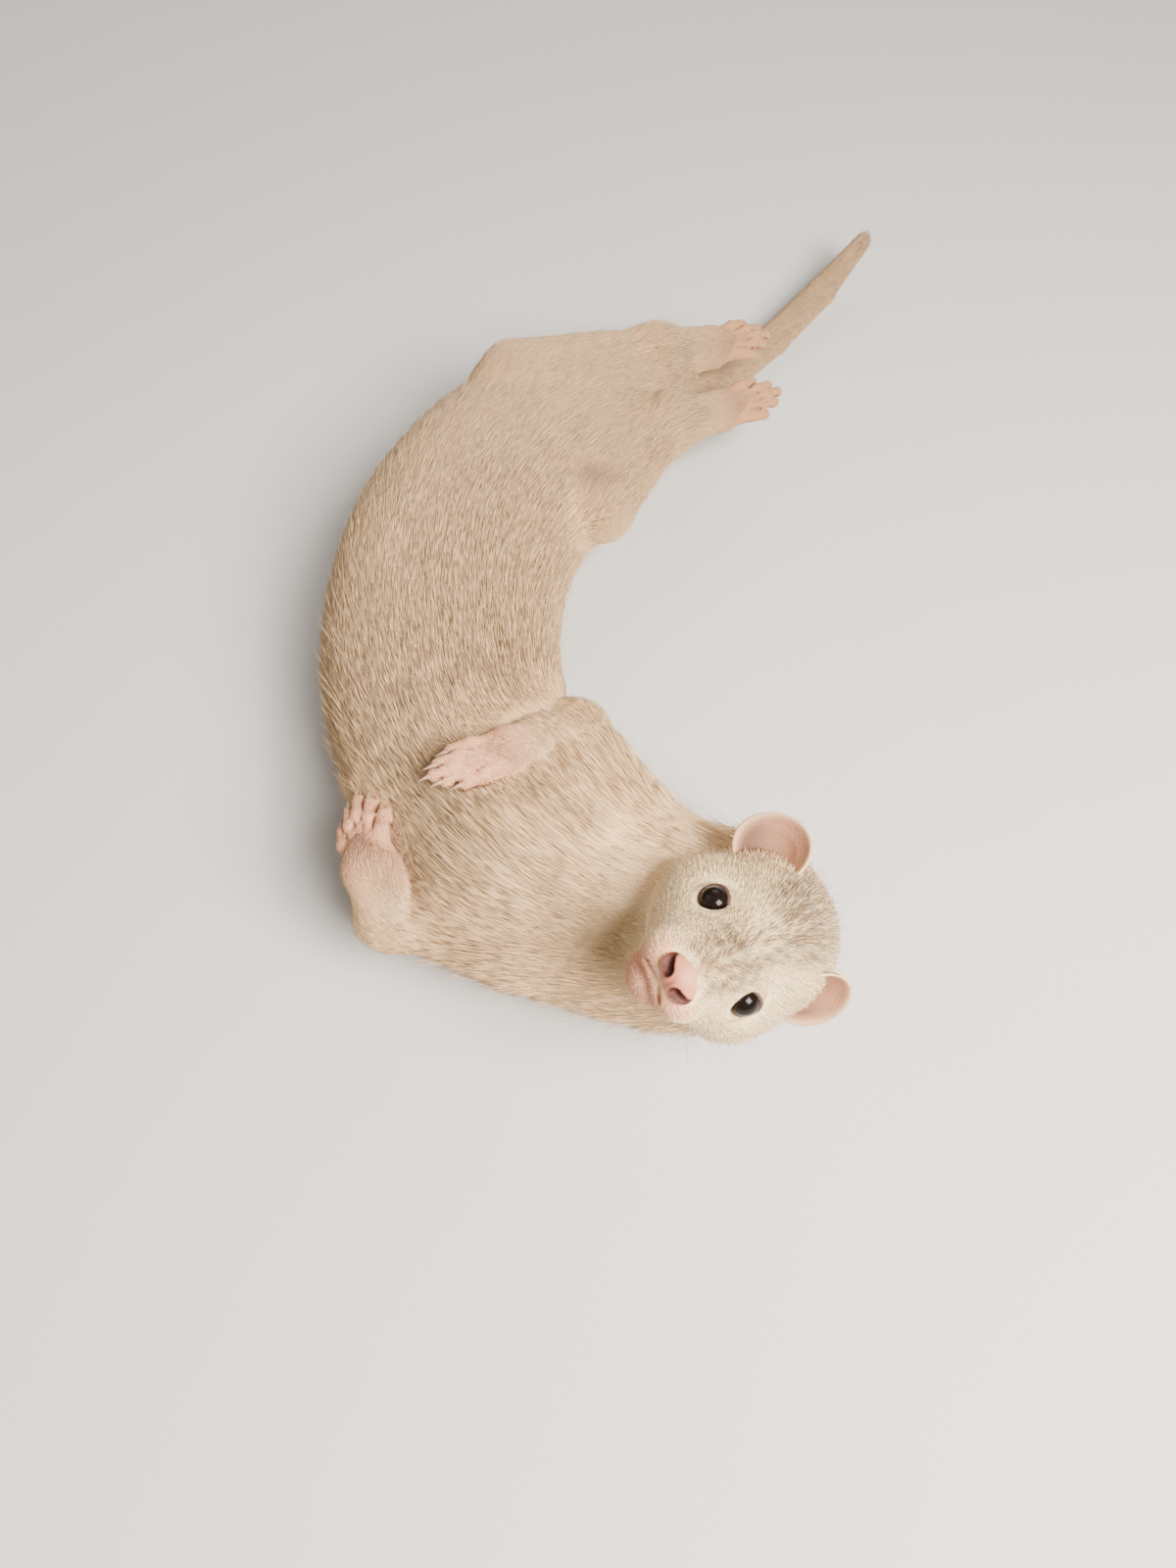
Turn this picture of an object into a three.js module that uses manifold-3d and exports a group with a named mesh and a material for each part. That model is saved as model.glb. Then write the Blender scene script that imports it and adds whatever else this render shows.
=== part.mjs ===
// A ferret lying on its back, life size, as a museum's still model of the animal.
// Its body curves in a C on the floor, its forelegs are folded over the chest, its hind legs
// are stretched out beside the tail, and its head is lifted and bent forwards off the neck.
// Millimetres, +Z up, floor at Z = 0. The origin is on the flat of the back, under the belly.
// +Y runs from the head towards the tail, and the inside of the C faces +X.
import * as THREE from "three";
import { mergeVertices } from "three/addons/utils/BufferGeometryUtils.js";
import Module from "manifold-3d";

const wasm = await Module();
wasm.setup();

const V = (x, y, z) => new THREE.Vector3(x, y, z);

// Gap between neighbouring pieces, and how far a piece stands off the skin that it lies on.
const GAP = 0.3;
const STAND_OFF = 0.4;
// The points of a finished piece lie on multiples of this.
const ROUNDING = 0.02;

// Cell sizes of the meshes: coarse on the trunk, fine on the face and the palms.
const CELL = { trunk: 9, leg: 6, head: 3, nose: 1.9, palm: 3.5 };

// The trunk from the back of the skull to the root of the tail, as cross-sections:
// centre, half width, half height, and roll of the belly towards the near side in degrees.
const TRUNK = [
  { at: V(80, -97.5, 28), wide: 26.5, high: 23, roll: 0 },
  { at: V(64, -95.5, 25.5), wide: 30, high: 26, roll: 0 },
  { at: V(45, -91, 26), wide: 30, high: 27, roll: 0 },
  { at: V(25, -79, 28.5), wide: 33, high: 29.5, roll: 0 },
  { at: V(9, -58, 29.5), wide: 34.5, high: 30.6, roll: 0 },
  { at: V(0, -33, 29), wide: 36, high: 30.2, roll: 0 },
  { at: V(-4, -4, 29), wide: 37, high: 30.3, roll: 0 },
  { at: V(1, 32, 29.5), wide: 37, high: 30.8, roll: 3 },
  { at: V(17, 65, 28), wide: 35.5, high: 29.4, roll: 6 },
  { at: V(42, 90, 25), wide: 30, high: 26.2, roll: 6 },
  { at: V(62, 102, 21), wide: 19, high: 20, roll: 6 },
];
const TRUNK_STEPS = 60;
const TRUNK_ROUNDNESS = 2.25;
// Where the trunk is parted, as shares of its length by cross-section.
const CUT = { neck: 0.28, chest: 0.5, belly: 0.735 };

// The head's own axes: forwards along the snout, left, and up through the crown.
const HEAD = {
  eyes: V(71.3, -120.5, 68),
  forwards: V(-0.325, -0.4805, 0.8142).normalize(),
  crown: V(0.8996, 0.0994, 0.419),
};
HEAD.left = HEAD.crown.clone().cross(HEAD.forwards).normalize();
HEAD.up = HEAD.forwards.clone().cross(HEAD.left).normalize();
const HEAD_AXES = [HEAD.forwards, HEAD.left, HEAD.up];
const EYE = {
  radius: 3.9,
  aside: 10.9,
  gaze: V(0.76, 0.62, 0.2),
  openWide: 3.7,
  openHigh: 3.4,
  lid: 0.75,
};
const EAR = {
  at: { left: V(-20.5, 18.4, 10.7), right: V(-20.5, 19, 12) },
  reach: 9.3,
  depth: 5.5,
  wall: 1.4,
  opening: { left: V(0.66, 0.72, 0.15), right: V(0.93, 0.33, 0.15) },
  outwards: V(-0.2, 0.8, 0.55),
};
const NOSE = { at: V(26, 0.5, -5), radii: V(3.6, 5.3, 3.9), nostril: 4 };
// The plane that parts head from neck at the base of the skull.
const SKULL_BASE = { point: V(46, -23, 76.5), normal: V(0.5, -0.25, 0.83).normalize() };

// The limbs: joints from the trunk outwards, with the flesh's radius at each. The last joint is
// where the leg ends and the paw begins, and the first ones, as many as "rooted", are in the trunk.
const FORELEGS = {
  right: {
    joints: [V(52, -70, 32), V(37, -45.5, 40), V(19, -62.5, 58.5)],
    radii: [14, 9.5, 6],
    rooted: 2,
    paw: { tip: V(0.5, -73.5, 64), back: V(0.1, -0.35, 1), width: 13 },
  },
  left: {
    joints: [V(22, -99, 28), V(-11.5, -95, 28), V(-14.5, -90, 46)],
    radii: [14, 9.5, 7.5],
    rooted: 2,
    paw: { tip: V(-20.5, -68.5, 47), back: V(-0.35, -0.3, 1), width: 16 },
  },
};
const HINDLEGS = {
  right: {
    joints: [V(46, 80, 27), V(43, 43, 36), V(66, 80, 35), V(85, 91, 31)],
    radii: [18, 12, 10, 6.5],
    rooted: 2,
    paw: { tip: V(108, 104, 29), back: V(0.1, -0.6, 1), width: 16 },
  },
  left: {
    joints: [V(48, 99, 26), V(16, 93.5, 42), V(62, 108.5, 40), V(83, 119.5, 34)],
    radii: [17, 12.5, 10, 7.3],
    rooted: 4,
    paw: { tip: V(106, 131, 31), back: V(0.1, -0.5, 1), width: 15.5 },
  },
};
const TOES = 5;
const TOE_RADIUS = { fore: 2.1, hind: 2.2 };
const CLAW_LENGTH = { fore: 6.5, hind: 4.8 };
const CLAW_RADIUS = 1.25;
// How far round a limb's root its piece reaches into the trunk.
const ROOT_MARGIN = 3;

// The tail from its root to its tip, with its radius at each point.
const TAIL = {
  joints: [
    V(62, 104, 20),
    V(78, 118, 12),
    V(93, 137, 6.8),
    V(112, 158, 6.3),
    V(132, 181, 10),
    V(150, 203, 17),
  ],
  radii: [11, 8.5, 7.3, 6.8, 6.4, 4.2],
  rooted: 2,
};

// Distance fields: functions of a point that are negative inside and positive outside.

const clamp01 = (t) => Math.min(1, Math.max(0, t));
const mix = (a, b, t) => a + (b - a) * t;

function bone(a, b, ra, rb) {
  const ab = b.clone().sub(a);
  const scale = 1 / ab.lengthSq();
  return (x, y, z) => {
    const px = x - a.x;
    const py = y - a.y;
    const pz = z - a.z;
    const t = clamp01((px * ab.x + py * ab.y + pz * ab.z) * scale);
    const dx = px - ab.x * t;
    const dy = py - ab.y * t;
    const dz = pz - ab.z * t;
    return Math.sqrt(dx * dx + dy * dy + dz * dz) - mix(ra, rb, t);
  };
}

const WORLD_AXES = [V(1, 0, 0), V(0, 1, 0), V(0, 0, 1)];

function ellipsoid(centre, radii, axes = WORLD_AXES) {
  return (x, y, z) => {
    let near = 0;
    let slope = 0;
    for (let i = 0; i < 3; i++) {
      const axis = axes[i];
      const radius = radii.getComponent(i);
      const along = (x - centre.x) * axis.x + (y - centre.y) * axis.y + (z - centre.z) * axis.z;
      near += (along / radius) ** 2;
      slope += (along / (radius * radius)) ** 2;
    }
    near = Math.sqrt(near);
    return slope > 0 ? (near * (near - 1)) / Math.sqrt(slope) : -Math.min(radii.x, radii.y, radii.z);
  };
}

function smoothMin(a, b, k) {
  const h = Math.max(k - Math.abs(a - b), 0);
  return Math.min(a, b) - (h * h) / (4 * k);
}

const blend = (k, ...fields) => (x, y, z) =>
  fields.reduce((near, field) => smoothMin(near, field(x, y, z), k), 1e3);
const limb = (k, points, radii) =>
  blend(k, ...points.slice(1).map((p, i) => bone(points[i], p, radii[i], radii[i + 1])));

// The trunk's cross-sections, carried along one smooth curve.
function trunkSections() {
  const centres = new THREE.CatmullRomCurve3(TRUNK.map((s) => s.at));
  const sizes = new THREE.CatmullRomCurve3(TRUNK.map((s) => V(s.wide, s.high, s.roll)));
  return Array.from({ length: TRUNK_STEPS + 1 }, (_, i) => {
    const t = i / TRUNK_STEPS;
    const size = sizes.getPoint(t);
    const along = centres.getTangent(t);
    const side = along.clone().cross(V(0, 0, 1)).normalize();
    side.applyAxisAngle(along, THREE.MathUtils.degToRad(size.z));
    const up = side.clone().cross(along).normalize();
    return { centre: centres.getPoint(t), along, side, up, wide: size.x, high: size.y };
  });
}
const SECTIONS = trunkSections();

function trunk(x, y, z) {
  let best = Infinity;
  let index = 0;
  let share = 0;
  for (let i = 0; i < TRUNK_STEPS; i++) {
    const a = SECTIONS[i].centre;
    const b = SECTIONS[i + 1].centre;
    const ux = b.x - a.x;
    const uy = b.y - a.y;
    const uz = b.z - a.z;
    const t = clamp01(
      ((x - a.x) * ux + (y - a.y) * uy + (z - a.z) * uz) / (ux * ux + uy * uy + uz * uz),
    );
    const d = (x - a.x - ux * t) ** 2 + (y - a.y - uy * t) ** 2 + (z - a.z - uz * t) ** 2;
    if (d < best) {
      best = d;
      index = i;
      share = t;
    }
  }
  const a = SECTIONS[index];
  const b = SECTIONS[index + 1];
  const off = V(x, y, z).sub(a.centre.clone().lerp(b.centre, share));
  const wide = mix(a.wide, b.wide, share);
  const high = mix(a.high, b.high, share);
  const side = off.dot(a.side.clone().lerp(b.side, share));
  const up = off.dot(a.up.clone().lerp(b.up, share));
  const past = off.dot(a.along);
  const reach = Math.sqrt(side * side + up * up + past * past);
  if (reach < 1e-3) return -Math.min(wide, high);
  const n = TRUNK_ROUNDNESS;
  const ring = (Math.abs(side / wide) ** n + Math.abs(up / high) ** n) ** (1 / n);
  const near = Math.sqrt(ring * ring + (past / high) ** 2);
  return reach - reach / near;
}

// The head, in its own axes: x forwards, y left, z up, from the point midway between the eyes.
const headPoint = (x, y, z) =>
  HEAD.eyes
    .clone()
    .addScaledVector(HEAD.forwards, x)
    .addScaledVector(HEAD.left, y)
    .addScaledVector(HEAD.up, z);
const headAxis = (v, side = 1) =>
  V(0, 0, 0)
    .addScaledVector(HEAD.forwards, v.x)
    .addScaledVector(HEAD.left, v.y * side)
    .addScaledVector(HEAD.up, v.z)
    .normalize();
const eyeCentre = (side) => headPoint(0, EYE.aside * side, 0);
const SIDES = { left: 1, right: -1 };
const bothSides = (make) => Object.values(SIDES).map(make);

function headFlesh() {
  const lump = (x, y, z, rx, ry, rz) => ellipsoid(headPoint(x, y, z), V(rx, ry, rz), HEAD_AXES);
  const skull = blend(
    6,
    lump(-27, 0, 1, 26.5, 21, 19.8),
    bone(headPoint(-13, 0, 2.5), headPoint(10, 0, -1.4), 14.5, 8.3),
    bone(headPoint(0, 0, -4.5), headPoint(20.5, 0.3, -5.8), 9.5, 7.4),
    ...bothSides((s) => bone(headPoint(-15, 9.5 * s, -7.5), headPoint(15, 4.2 * s, -9), 13, 5.8)),
  );
  const face = blend(3, skull, ...bothSides((s) => lump(18.5, 4.9 * s, -8, 7.5, 5.6, 5.2)));
  const jaw = blend(
    4,
    bone(headPoint(-13, 0, -12.5), headPoint(12, 0, -14), 12, 6.6),
    lump(15.5, 0.3, -14.2, 6.2, 5.8, 4.8),
  );
  return blend(1.2, face, jaw);
}
const head = headFlesh();

// The upper parts of the limbs and the root of the tail swell the trunk's skin.
const ALL_LIMBS = [...Object.values(FORELEGS), ...Object.values(HINDLEGS), TAIL];
const rootBones = ({ joints, radii, rooted }) => limb(6, joints.slice(0, rooted), radii.slice(0, rooted));
const flesh = blend(11, trunk, head, ...ALL_LIMBS.map(rootBones));

// A field's surface inside a box, as a closed mesh: one vertex for each patch of the surface
// in each cell, moved onto the surface, and one quad round each grid edge that it crosses.
const UNITS = [0, 1, 2].map((axis) => [0, 1, 2].map((i) => (i === axis ? 1 : 0)));
const cornerId = ([i, j, k]) => i + 2 * j + 4 * k;
const EDGES = [0, 1, 2].flatMap((axis) =>
  [0, 1, 2, 3].map((id) => {
    const start = [0, 0, 0];
    start[(axis + 1) % 3] = id & 1;
    start[(axis + 2) % 3] = id >> 1;
    return { start, end: start.map((c, i) => c + UNITS[axis][i]) };
  }),
);
const FACES = [0, 1, 2].flatMap((axis) =>
  [0, 1].map((side) =>
    [...EDGES.keys()].filter((id) => EDGES[id].start[axis] === side && EDGES[id].end[axis] === side),
  ),
);

// Numbers the crossed edges of one cell by the patch of surface that they belong to.
function patchOfEdges(corner) {
  const isInside = (c) => corner[cornerId(c)] < 0;
  const insideEnd = EDGES.map(({ start, end }) => cornerId(isInside(start) ? start : end));
  const patch = EDGES.map(({ start, end }, id) => (isInside(start) === isInside(end) ? -1 : id));
  const join = (a, b) => {
    const from = patch[b];
    patch.forEach((p, id) => {
      if (p === from) patch[id] = patch[a];
    });
  };
  for (const face of FACES) {
    const crossed = face.filter((id) => patch[id] >= 0);
    for (const a of crossed)
      for (const b of crossed)
        if (a < b && (crossed.length === 2 || insideEnd[a] === insideEnd[b])) join(a, b);
  }
  return patch;
}

// Moves a point along the field's slope onto the surface, by less than a limit.
function settle(point, field, level, limit) {
  const start = point.clone();
  const e = 0.05;
  for (let pass = 0; pass < 3; pass++) {
    const { x, y, z } = point;
    const value = field(x, y, z) - level;
    const slope = V(
      field(x + e, y, z) - field(x - e, y, z),
      field(x, y + e, z) - field(x, y - e, z),
      field(x, y, z + e) - field(x, y, z - e),
    ).divideScalar(2 * e);
    const steep = slope.lengthSq();
    if (steep < 1e-4) break;
    point.addScaledVector(slope, -value / steep);
  }
  return start.add(point.sub(start.clone()).clampLength(0, limit));
}

function surfaceGeometry(field, box, cell, level = 0) {
  const corner0 = box.min.clone().divideScalar(cell).floor().multiplyScalar(cell);
  const size = box.max.clone().sub(corner0);
  const n = size.toArray().map((s) => Math.ceil(s / cell) + 1);
  const at = (i, j, k) => (k * n[1] + j) * n[0] + i;
  const eachPoint = (from, to, visit) => {
    for (let k = from; k < n[2] - to; k++)
      for (let j = from; j < n[1] - to; j++) for (let i = from; i < n[0] - to; i++) visit(i, j, k);
  };
  const values = new Float32Array(n[0] * n[1] * n[2]);
  eachPoint(0, 0, (i, j, k) => {
    const atBox = [i, j, k].some((c, axis) => c === 0 || c === n[axis] - 1);
    const value = field(corner0.x + i * cell, corner0.y + j * cell, corner0.z + k * cell) - level;
    values[at(i, j, k)] = atBox ? Math.max(value, cell) : value;
  });

  const vertices = [];
  const vertexOf = new Map();
  eachPoint(0, 1, (i, j, k) => {
    const corner = Array.from(
      { length: 8 },
      (_, c) => values[at(i + (c & 1), j + ((c >> 1) & 1), k + (c >> 2))],
    );
    if (corner.every((v) => v < 0) || corner.every((v) => v >= 0)) return;
    const patch = patchOfEdges(corner);
    for (const name of new Set(patch.filter((p) => p >= 0))) {
      const ids = [...EDGES.keys()].filter((id) => patch[id] === name);
      const middle = V(0, 0, 0);
      for (const id of ids) {
        const { start, end } = EDGES[id];
        const [a, b] = [corner[cornerId(start)], corner[cornerId(end)]];
        middle.add(V(...start).lerp(V(...end), a / (a - b)));
        vertexOf.set(at(i, j, k) * 12 + id, vertices.length);
      }
      middle.divideScalar(ids.length).add(V(i, j, k)).multiplyScalar(cell).add(corner0);
      vertices.push(settle(middle, field, level, cell * 0.4));
    }
  });

  const index = [];
  eachPoint(0, 1, (i, j, k) => {
    for (let axis = 0; axis < 3; axis++) {
      if ([i, j, k].some((c, other) => c === 0 && other !== axis)) continue;
      const step = UNITS[axis];
      const inside = values[at(i, j, k)] < 0;
      if (inside === values[at(i + step[0], j + step[1], k + step[2])] < 0) continue;
      const u = UNITS[(axis + 1) % 3];
      const v = UNITS[(axis + 2) % 3];
      const ring = [0, 1, 3, 2].map((id) => {
        const [du, dv] = [id & 1, id >> 1];
        const cellAt = [i, j, k].map((c, n3) => c - du * u[n3] - dv * v[n3]);
        return vertexOf.get(at(...cellAt) * 12 + axis * 4 + id);
      });
      if (!inside) ring.reverse();
      const [a, b, c, d] = ring;
      const short = vertices[a].distanceTo(vertices[c]) < vertices[b].distanceTo(vertices[d]);
      index.push(...(short ? [a, b, c, a, c, d] : [a, b, d, b, c, d]));
    }
  });
  const geometry = new THREE.BufferGeometry().setFromPoints(vertices);
  geometry.setIndex(index);
  return geometry;
}

// Solids, for joining and cutting.

function manifoldOf(geometry) {
  return new wasm.Manifold(
    new wasm.Mesh({
      numProp: 3,
      vertProperties: new Float32Array(geometry.attributes.position.array),
      triVerts: new Uint32Array(geometry.index.array),
    }),
  );
}

// Joins the points of a mesh that lie together, and drops the triangles that vanish with them.
function solidOf(geometry) {
  const bare = geometry.clone();
  for (const name of ["normal", "uv"]) bare.deleteAttribute(name);
  const merged = mergeVertices(bare, 1e-3);
  const index = [...merged.index.array];
  const whole = [];
  for (let i = 0; i < index.length; i += 3) {
    const corners = index.slice(i, i + 3);
    if (new Set(corners).size === 3) whole.push(...corners);
  }
  merged.setIndex(whole);
  return manifoldOf(merged);
}

function geometryOf(solid) {
  const { vertProperties, triVerts, numProp } = solid.getMesh();
  const count = vertProperties.length / numProp;
  const position = new Float32Array(3 * count);
  for (let i = 0; i < count; i++) position.set(vertProperties.subarray(i * numProp, i * numProp + 3), 3 * i);
  const geometry = new THREE.BufferGeometry();
  geometry.setAttribute("position", new THREE.BufferAttribute(position, 3));
  geometry.setIndex(new THREE.BufferAttribute(new Uint32Array(triVerts), 1));
  return geometry;
}

const fieldSolid = (field, box, cell, level = 0) => manifoldOf(surfaceGeometry(field, box, cell, level));

function boxRound(points, margin) {
  return new THREE.Box3().setFromPoints(points).expandByScalar(margin);
}

// A block whose face lies at a point and looks back against the direction that the block fills.
function block(point, direction, reach = 400) {
  const geometry = new THREE.BoxGeometry(reach, reach, reach);
  geometry.translate(0, 0, reach / 2);
  const turn = new THREE.Quaternion().setFromUnitVectors(V(0, 0, 1), direction.clone().normalize());
  geometry.applyQuaternion(turn);
  geometry.translate(point.x, point.y, point.z);
  return solidOf(geometry);
}

const FLOOR = block(V(0, 0, 0), V(0, 0, -1), 900);

// The largest closed surface of a solid, with its points rounded so that slivers vanish. What
// only touched the rest along an edge comes apart when the points are joined, so it goes too.
function largest(solid) {
  const biggest = (whole) => whole.decompose().reduce((a, b) => (b.volume() > a.volume() ? b : a));
  let piece = biggest(solid);
  let faces = 0;
  while (piece.numTri() !== faces) {
    faces = piece.numTri();
    const geometry = geometryOf(piece);
    const { array } = geometry.attributes.position;
    array.forEach((value, i) => {
      array[i] = Math.round(value / ROUNDING) * ROUNDING;
    });
    piece = biggest(solidOf(geometry));
  }
  return piece;
}

function placed(geometry, centre, axes = WORLD_AXES) {
  const [x, y, z] = axes;
  geometry.applyMatrix4(new THREE.Matrix4().makeBasis(x, y, z).setPosition(centre));
  return geometry;
}

const ballSolid = (centre, radii, axes = WORLD_AXES, around = 16, down = 10) =>
  solidOf(placed(new THREE.SphereGeometry(1, around, down).scale(radii.x, radii.y, radii.z), centre, axes));

// A closed tube along a curve through points, with a radius at each point. Its ends are rounded
// or flat.
function tubeSolid(points, radii, sides, steps, round = true) {
  const path = new THREE.CatmullRomCurve3(points);
  const sizes = new THREE.CatmullRomCurve3(radii.map((r) => V(r, 0, 0)));
  const upwards = V(0.13, -0.31, 1);
  const ends = [0, 50];
  const shares = Array.from({ length: steps + 1 }, (_, i) => ({ t: i / steps, shift: 0, scale: 1 }));
  const cap = (t, sign) =>
    ends.map((degrees) => {
      const turn = THREE.MathUtils.degToRad(degrees);
      return { t, shift: sign * Math.cos(turn), scale: Math.max(Math.sin(turn), 0.05) };
    });
  const rows = round ? [...cap(0, -1), ...shares, ...cap(1, 1).reverse()] : shares;
  const vertices = [];
  for (const { t, shift, scale } of rows) {
    const along = path.getTangent(t);
    const side = along.clone().cross(upwards).normalize();
    const up = side.clone().cross(along);
    const radius = Math.max(sizes.getPoint(t).x, 0.1);
    for (let k = 0; k < sides; k++) {
      const turn = (2 * Math.PI * k) / sides;
      const point = path.getPoint(t).addScaledVector(along, shift * radius);
      point.addScaledVector(side, radius * scale * Math.cos(turn));
      vertices.push(point.addScaledVector(up, radius * scale * Math.sin(turn)));
    }
  }
  const index = [];
  for (let row = 0; row < rows.length - 1; row++)
    for (let k = 0; k < sides; k++) {
      const a = row * sides + k;
      const b = row * sides + ((k + 1) % sides);
      index.push(a, a + sides, b, b, a + sides, b + sides);
    }
  const last = (rows.length - 1) * sides;
  for (let k = 1; k < sides - 1; k++) {
    index.push(0, k, k + 1);
    index.push(last, last + k + 1, last + k);
  }
  const geometry = new THREE.BufferGeometry().setFromPoints(vertices);
  geometry.setIndex(index);
  return manifoldOf(geometry);
}

// Moves a point onto a field's surface.
const ontoSurface = (point, field) => settle(point.clone(), field, 0, 40);

// The trunk's pieces.

function trunkPlane(share) {
  const section = SECTIONS[Math.round(share * TRUNK_STEPS)];
  return { point: section.centre, normal: section.along };
}

// The part of a limb that lies within the trunk: its own outline, and one wider by the gap.
// Each root keeps clear of the ones before it.
function limbRoot({ joints, radii, rooted }) {
  const wider = (i, extra) =>
    tubeSolid([joints[i - 1], joints[i]], [radii[i - 1] + extra, radii[i] + extra], 12, 3);
  const tube = (extra) =>
    Array.from({ length: rooted - 1 }, (_, i) => wider(i + 1, extra)).reduce((a, b) => a.add(b));
  const whole = fieldSolid(limb(6, joints, radii), boxRound(joints, 30), CELL.leg, 2 * GAP);
  return { within: tube(ROOT_MARGIN), around: tube(ROOT_MARGIN + GAP), whole };
}
const ROOTS = ALL_LIMBS.map(limbRoot);
ROOTS.forEach((root, i) => {
  for (const other of ROOTS.slice(0, i))
    root.within = root.within.subtract(other.around).subtract(other.whole);
});
const rootFor = (one) => ROOTS[ALL_LIMBS.indexOf(one)];

// Everything on the far side of a plane, and everything on the near side, half a gap away from it.
const beyond = ({ point, normal }) => block(point.clone().addScaledVector(normal, -GAP / 2), normal);
const before = ({ point, normal }) => beyond({ point, normal: normal.clone().negate() });

function betweenPlanes(solid, start, end) {
  let piece = solid;
  if (start) piece = piece.subtract(before(start));
  if (end) piece = piece.subtract(beyond(end));
  return piece;
}

function trunkPiece(from, to) {
  const rows = SECTIONS.slice(Math.floor(from * TRUNK_STEPS), Math.ceil(to * TRUNK_STEPS) + 1);
  const box = boxRound(rows.map((s) => s.centre), 50);
  const whole = fieldSolid(flesh, box, CELL.trunk).subtract(FLOOR);
  const rootless = ROOTS.reduce((piece, root) => piece.subtract(root.around), whole);
  const parted = betweenPlanes(rootless, from > 0 && trunkPlane(from), to < 1 && trunkPlane(to));
  return from > 0 ? largest(parted) : largest(parted.subtract(beyond(SKULL_BASE)));
}

// The head's features.

// The opening between the lids: two arcs that meet at the corners, pushed out along the gaze.
function lidOpening(side) {
  const { openWide: w, openHigh: h } = EYE;
  const lens = new THREE.Shape();
  lens.moveTo(-w, 0);
  lens.bezierCurveTo(-0.5 * w, -1.25 * h, 0.5 * w, -1.25 * h, w, 0);
  lens.bezierCurveTo(0.5 * w, 1.35 * h, -0.5 * w, 1.35 * h, -w, 0);
  const geometry = new THREE.ExtrudeGeometry(lens, { depth: 10, bevelEnabled: false, curveSegments: 7 });
  const gaze = headAxis(EYE.gaze, side);
  const up = HEAD.up.clone().addScaledVector(gaze, -HEAD.up.dot(gaze)).normalize();
  const across = up.clone().cross(gaze);
  return solidOf(placed(geometry, eyeCentre(side).addScaledVector(gaze, 1), [across, up, gaze]));
}

function mouthLine(side) {
  const lip = [V(26, 0, -10.3), V(23.5, 4, -10.8), V(18, 7.5, -11.2), V(11, 10.5, -11.8), V(4, 14.5, -13)];
  const points = lip.map((p) => ontoSurface(headPoint(p.x, p.y * side, p.z), head));
  return tubeSolid(points, [0.65, 0.7, 0.75, 0.7, 0.4], 6, 10, false);
}

function noseSolid() {
  const { x, y, z } = NOSE.at;
  const pad = blend(
    1.6,
    ellipsoid(headPoint(x, y, z), NOSE.radii, HEAD_AXES),
    ...bothSides((s) => ellipsoid(headPoint(x - 0.8, y + 3.2 * s, z - 0.9), V(3, 2.5, 2.7), HEAD_AXES)),
  );
  const nostrils = bothSides((s) =>
    ballSolid(headPoint(x + 1.7, y + NOSE.nostril * s, z - 0.4), V(2.4, 1.5, 1.1), HEAD_AXES, 10, 6),
  );
  const whole = fieldSolid(pad, boxRound([headPoint(x, y, z)], 8), CELL.nose);
  const face = fieldSolid(flesh, boxRound([headPoint(x - 4, y, z)], 12), CELL.head, GAP);
  return largest(nostrils.reduce((solid, hole) => solid.subtract(hole), whole).subtract(face));
}

function headSolid() {
  const reach = [headPoint(30, 0, -6), headPoint(-50, 14, 8), headPoint(-50, -14, 8), headPoint(-25, 0, -20)];
  const aroundEye = (side, extra) => {
    const radius = EYE.radius + extra;
    return ballSolid(eyeCentre(side), V(radius, radius, radius), HEAD_AXES);
  };
  let solid = fieldSolid(flesh, boxRound(reach, 18), CELL.head);
  for (const side of Object.values(SIDES)) solid = solid.add(aroundEye(side, EYE.lid));
  solid = solid.subtract(before(SKULL_BASE));
  for (const side of Object.values(SIDES)) {
    solid = solid.subtract(mouthLine(side));
    solid = solid.subtract(lidOpening(side));
    solid = solid.subtract(aroundEye(side, GAP));
  }
  return largest(solid);
}

// An ear: a round cup with a thin rim, that opens forwards and outwards.
function earSolid(name) {
  const { at, reach, depth, wall } = EAR;
  const side = SIDES[name];
  const rings = 5;
  const profile = Array.from({ length: rings + 1 }, (_, i) => {
    const r = i / rings;
    return { r, inside: new THREE.Vector2(r * reach, -depth * (1 - r * r)) };
  });
  const inner = profile.map(({ inside }) => inside).reverse();
  const outer = profile.map(
    ({ r, inside }) => new THREE.Vector2(inside.x + 0.75 * wall * r, inside.y - wall * (1 - 0.65 * r)),
  );
  const cup = new THREE.LatheGeometry([...outer, ...inner], 18).scale(1, 1, 0.95);
  const opening = headAxis(EAR.opening[name], side);
  const outwards = headAxis(EAR.outwards, side);
  outwards.addScaledVector(opening, -outwards.dot(opening)).normalize();
  const across = opening.clone().cross(outwards);
  const centre = headPoint(at[name].x, at[name].y * side, at[name].z);
  const solid = solidOf(placed(cup, centre, [across, opening, outwards]));
  return largest(solid.subtract(fieldSolid(flesh, boxRound([centre], 18), CELL.head, GAP)));
}

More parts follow.
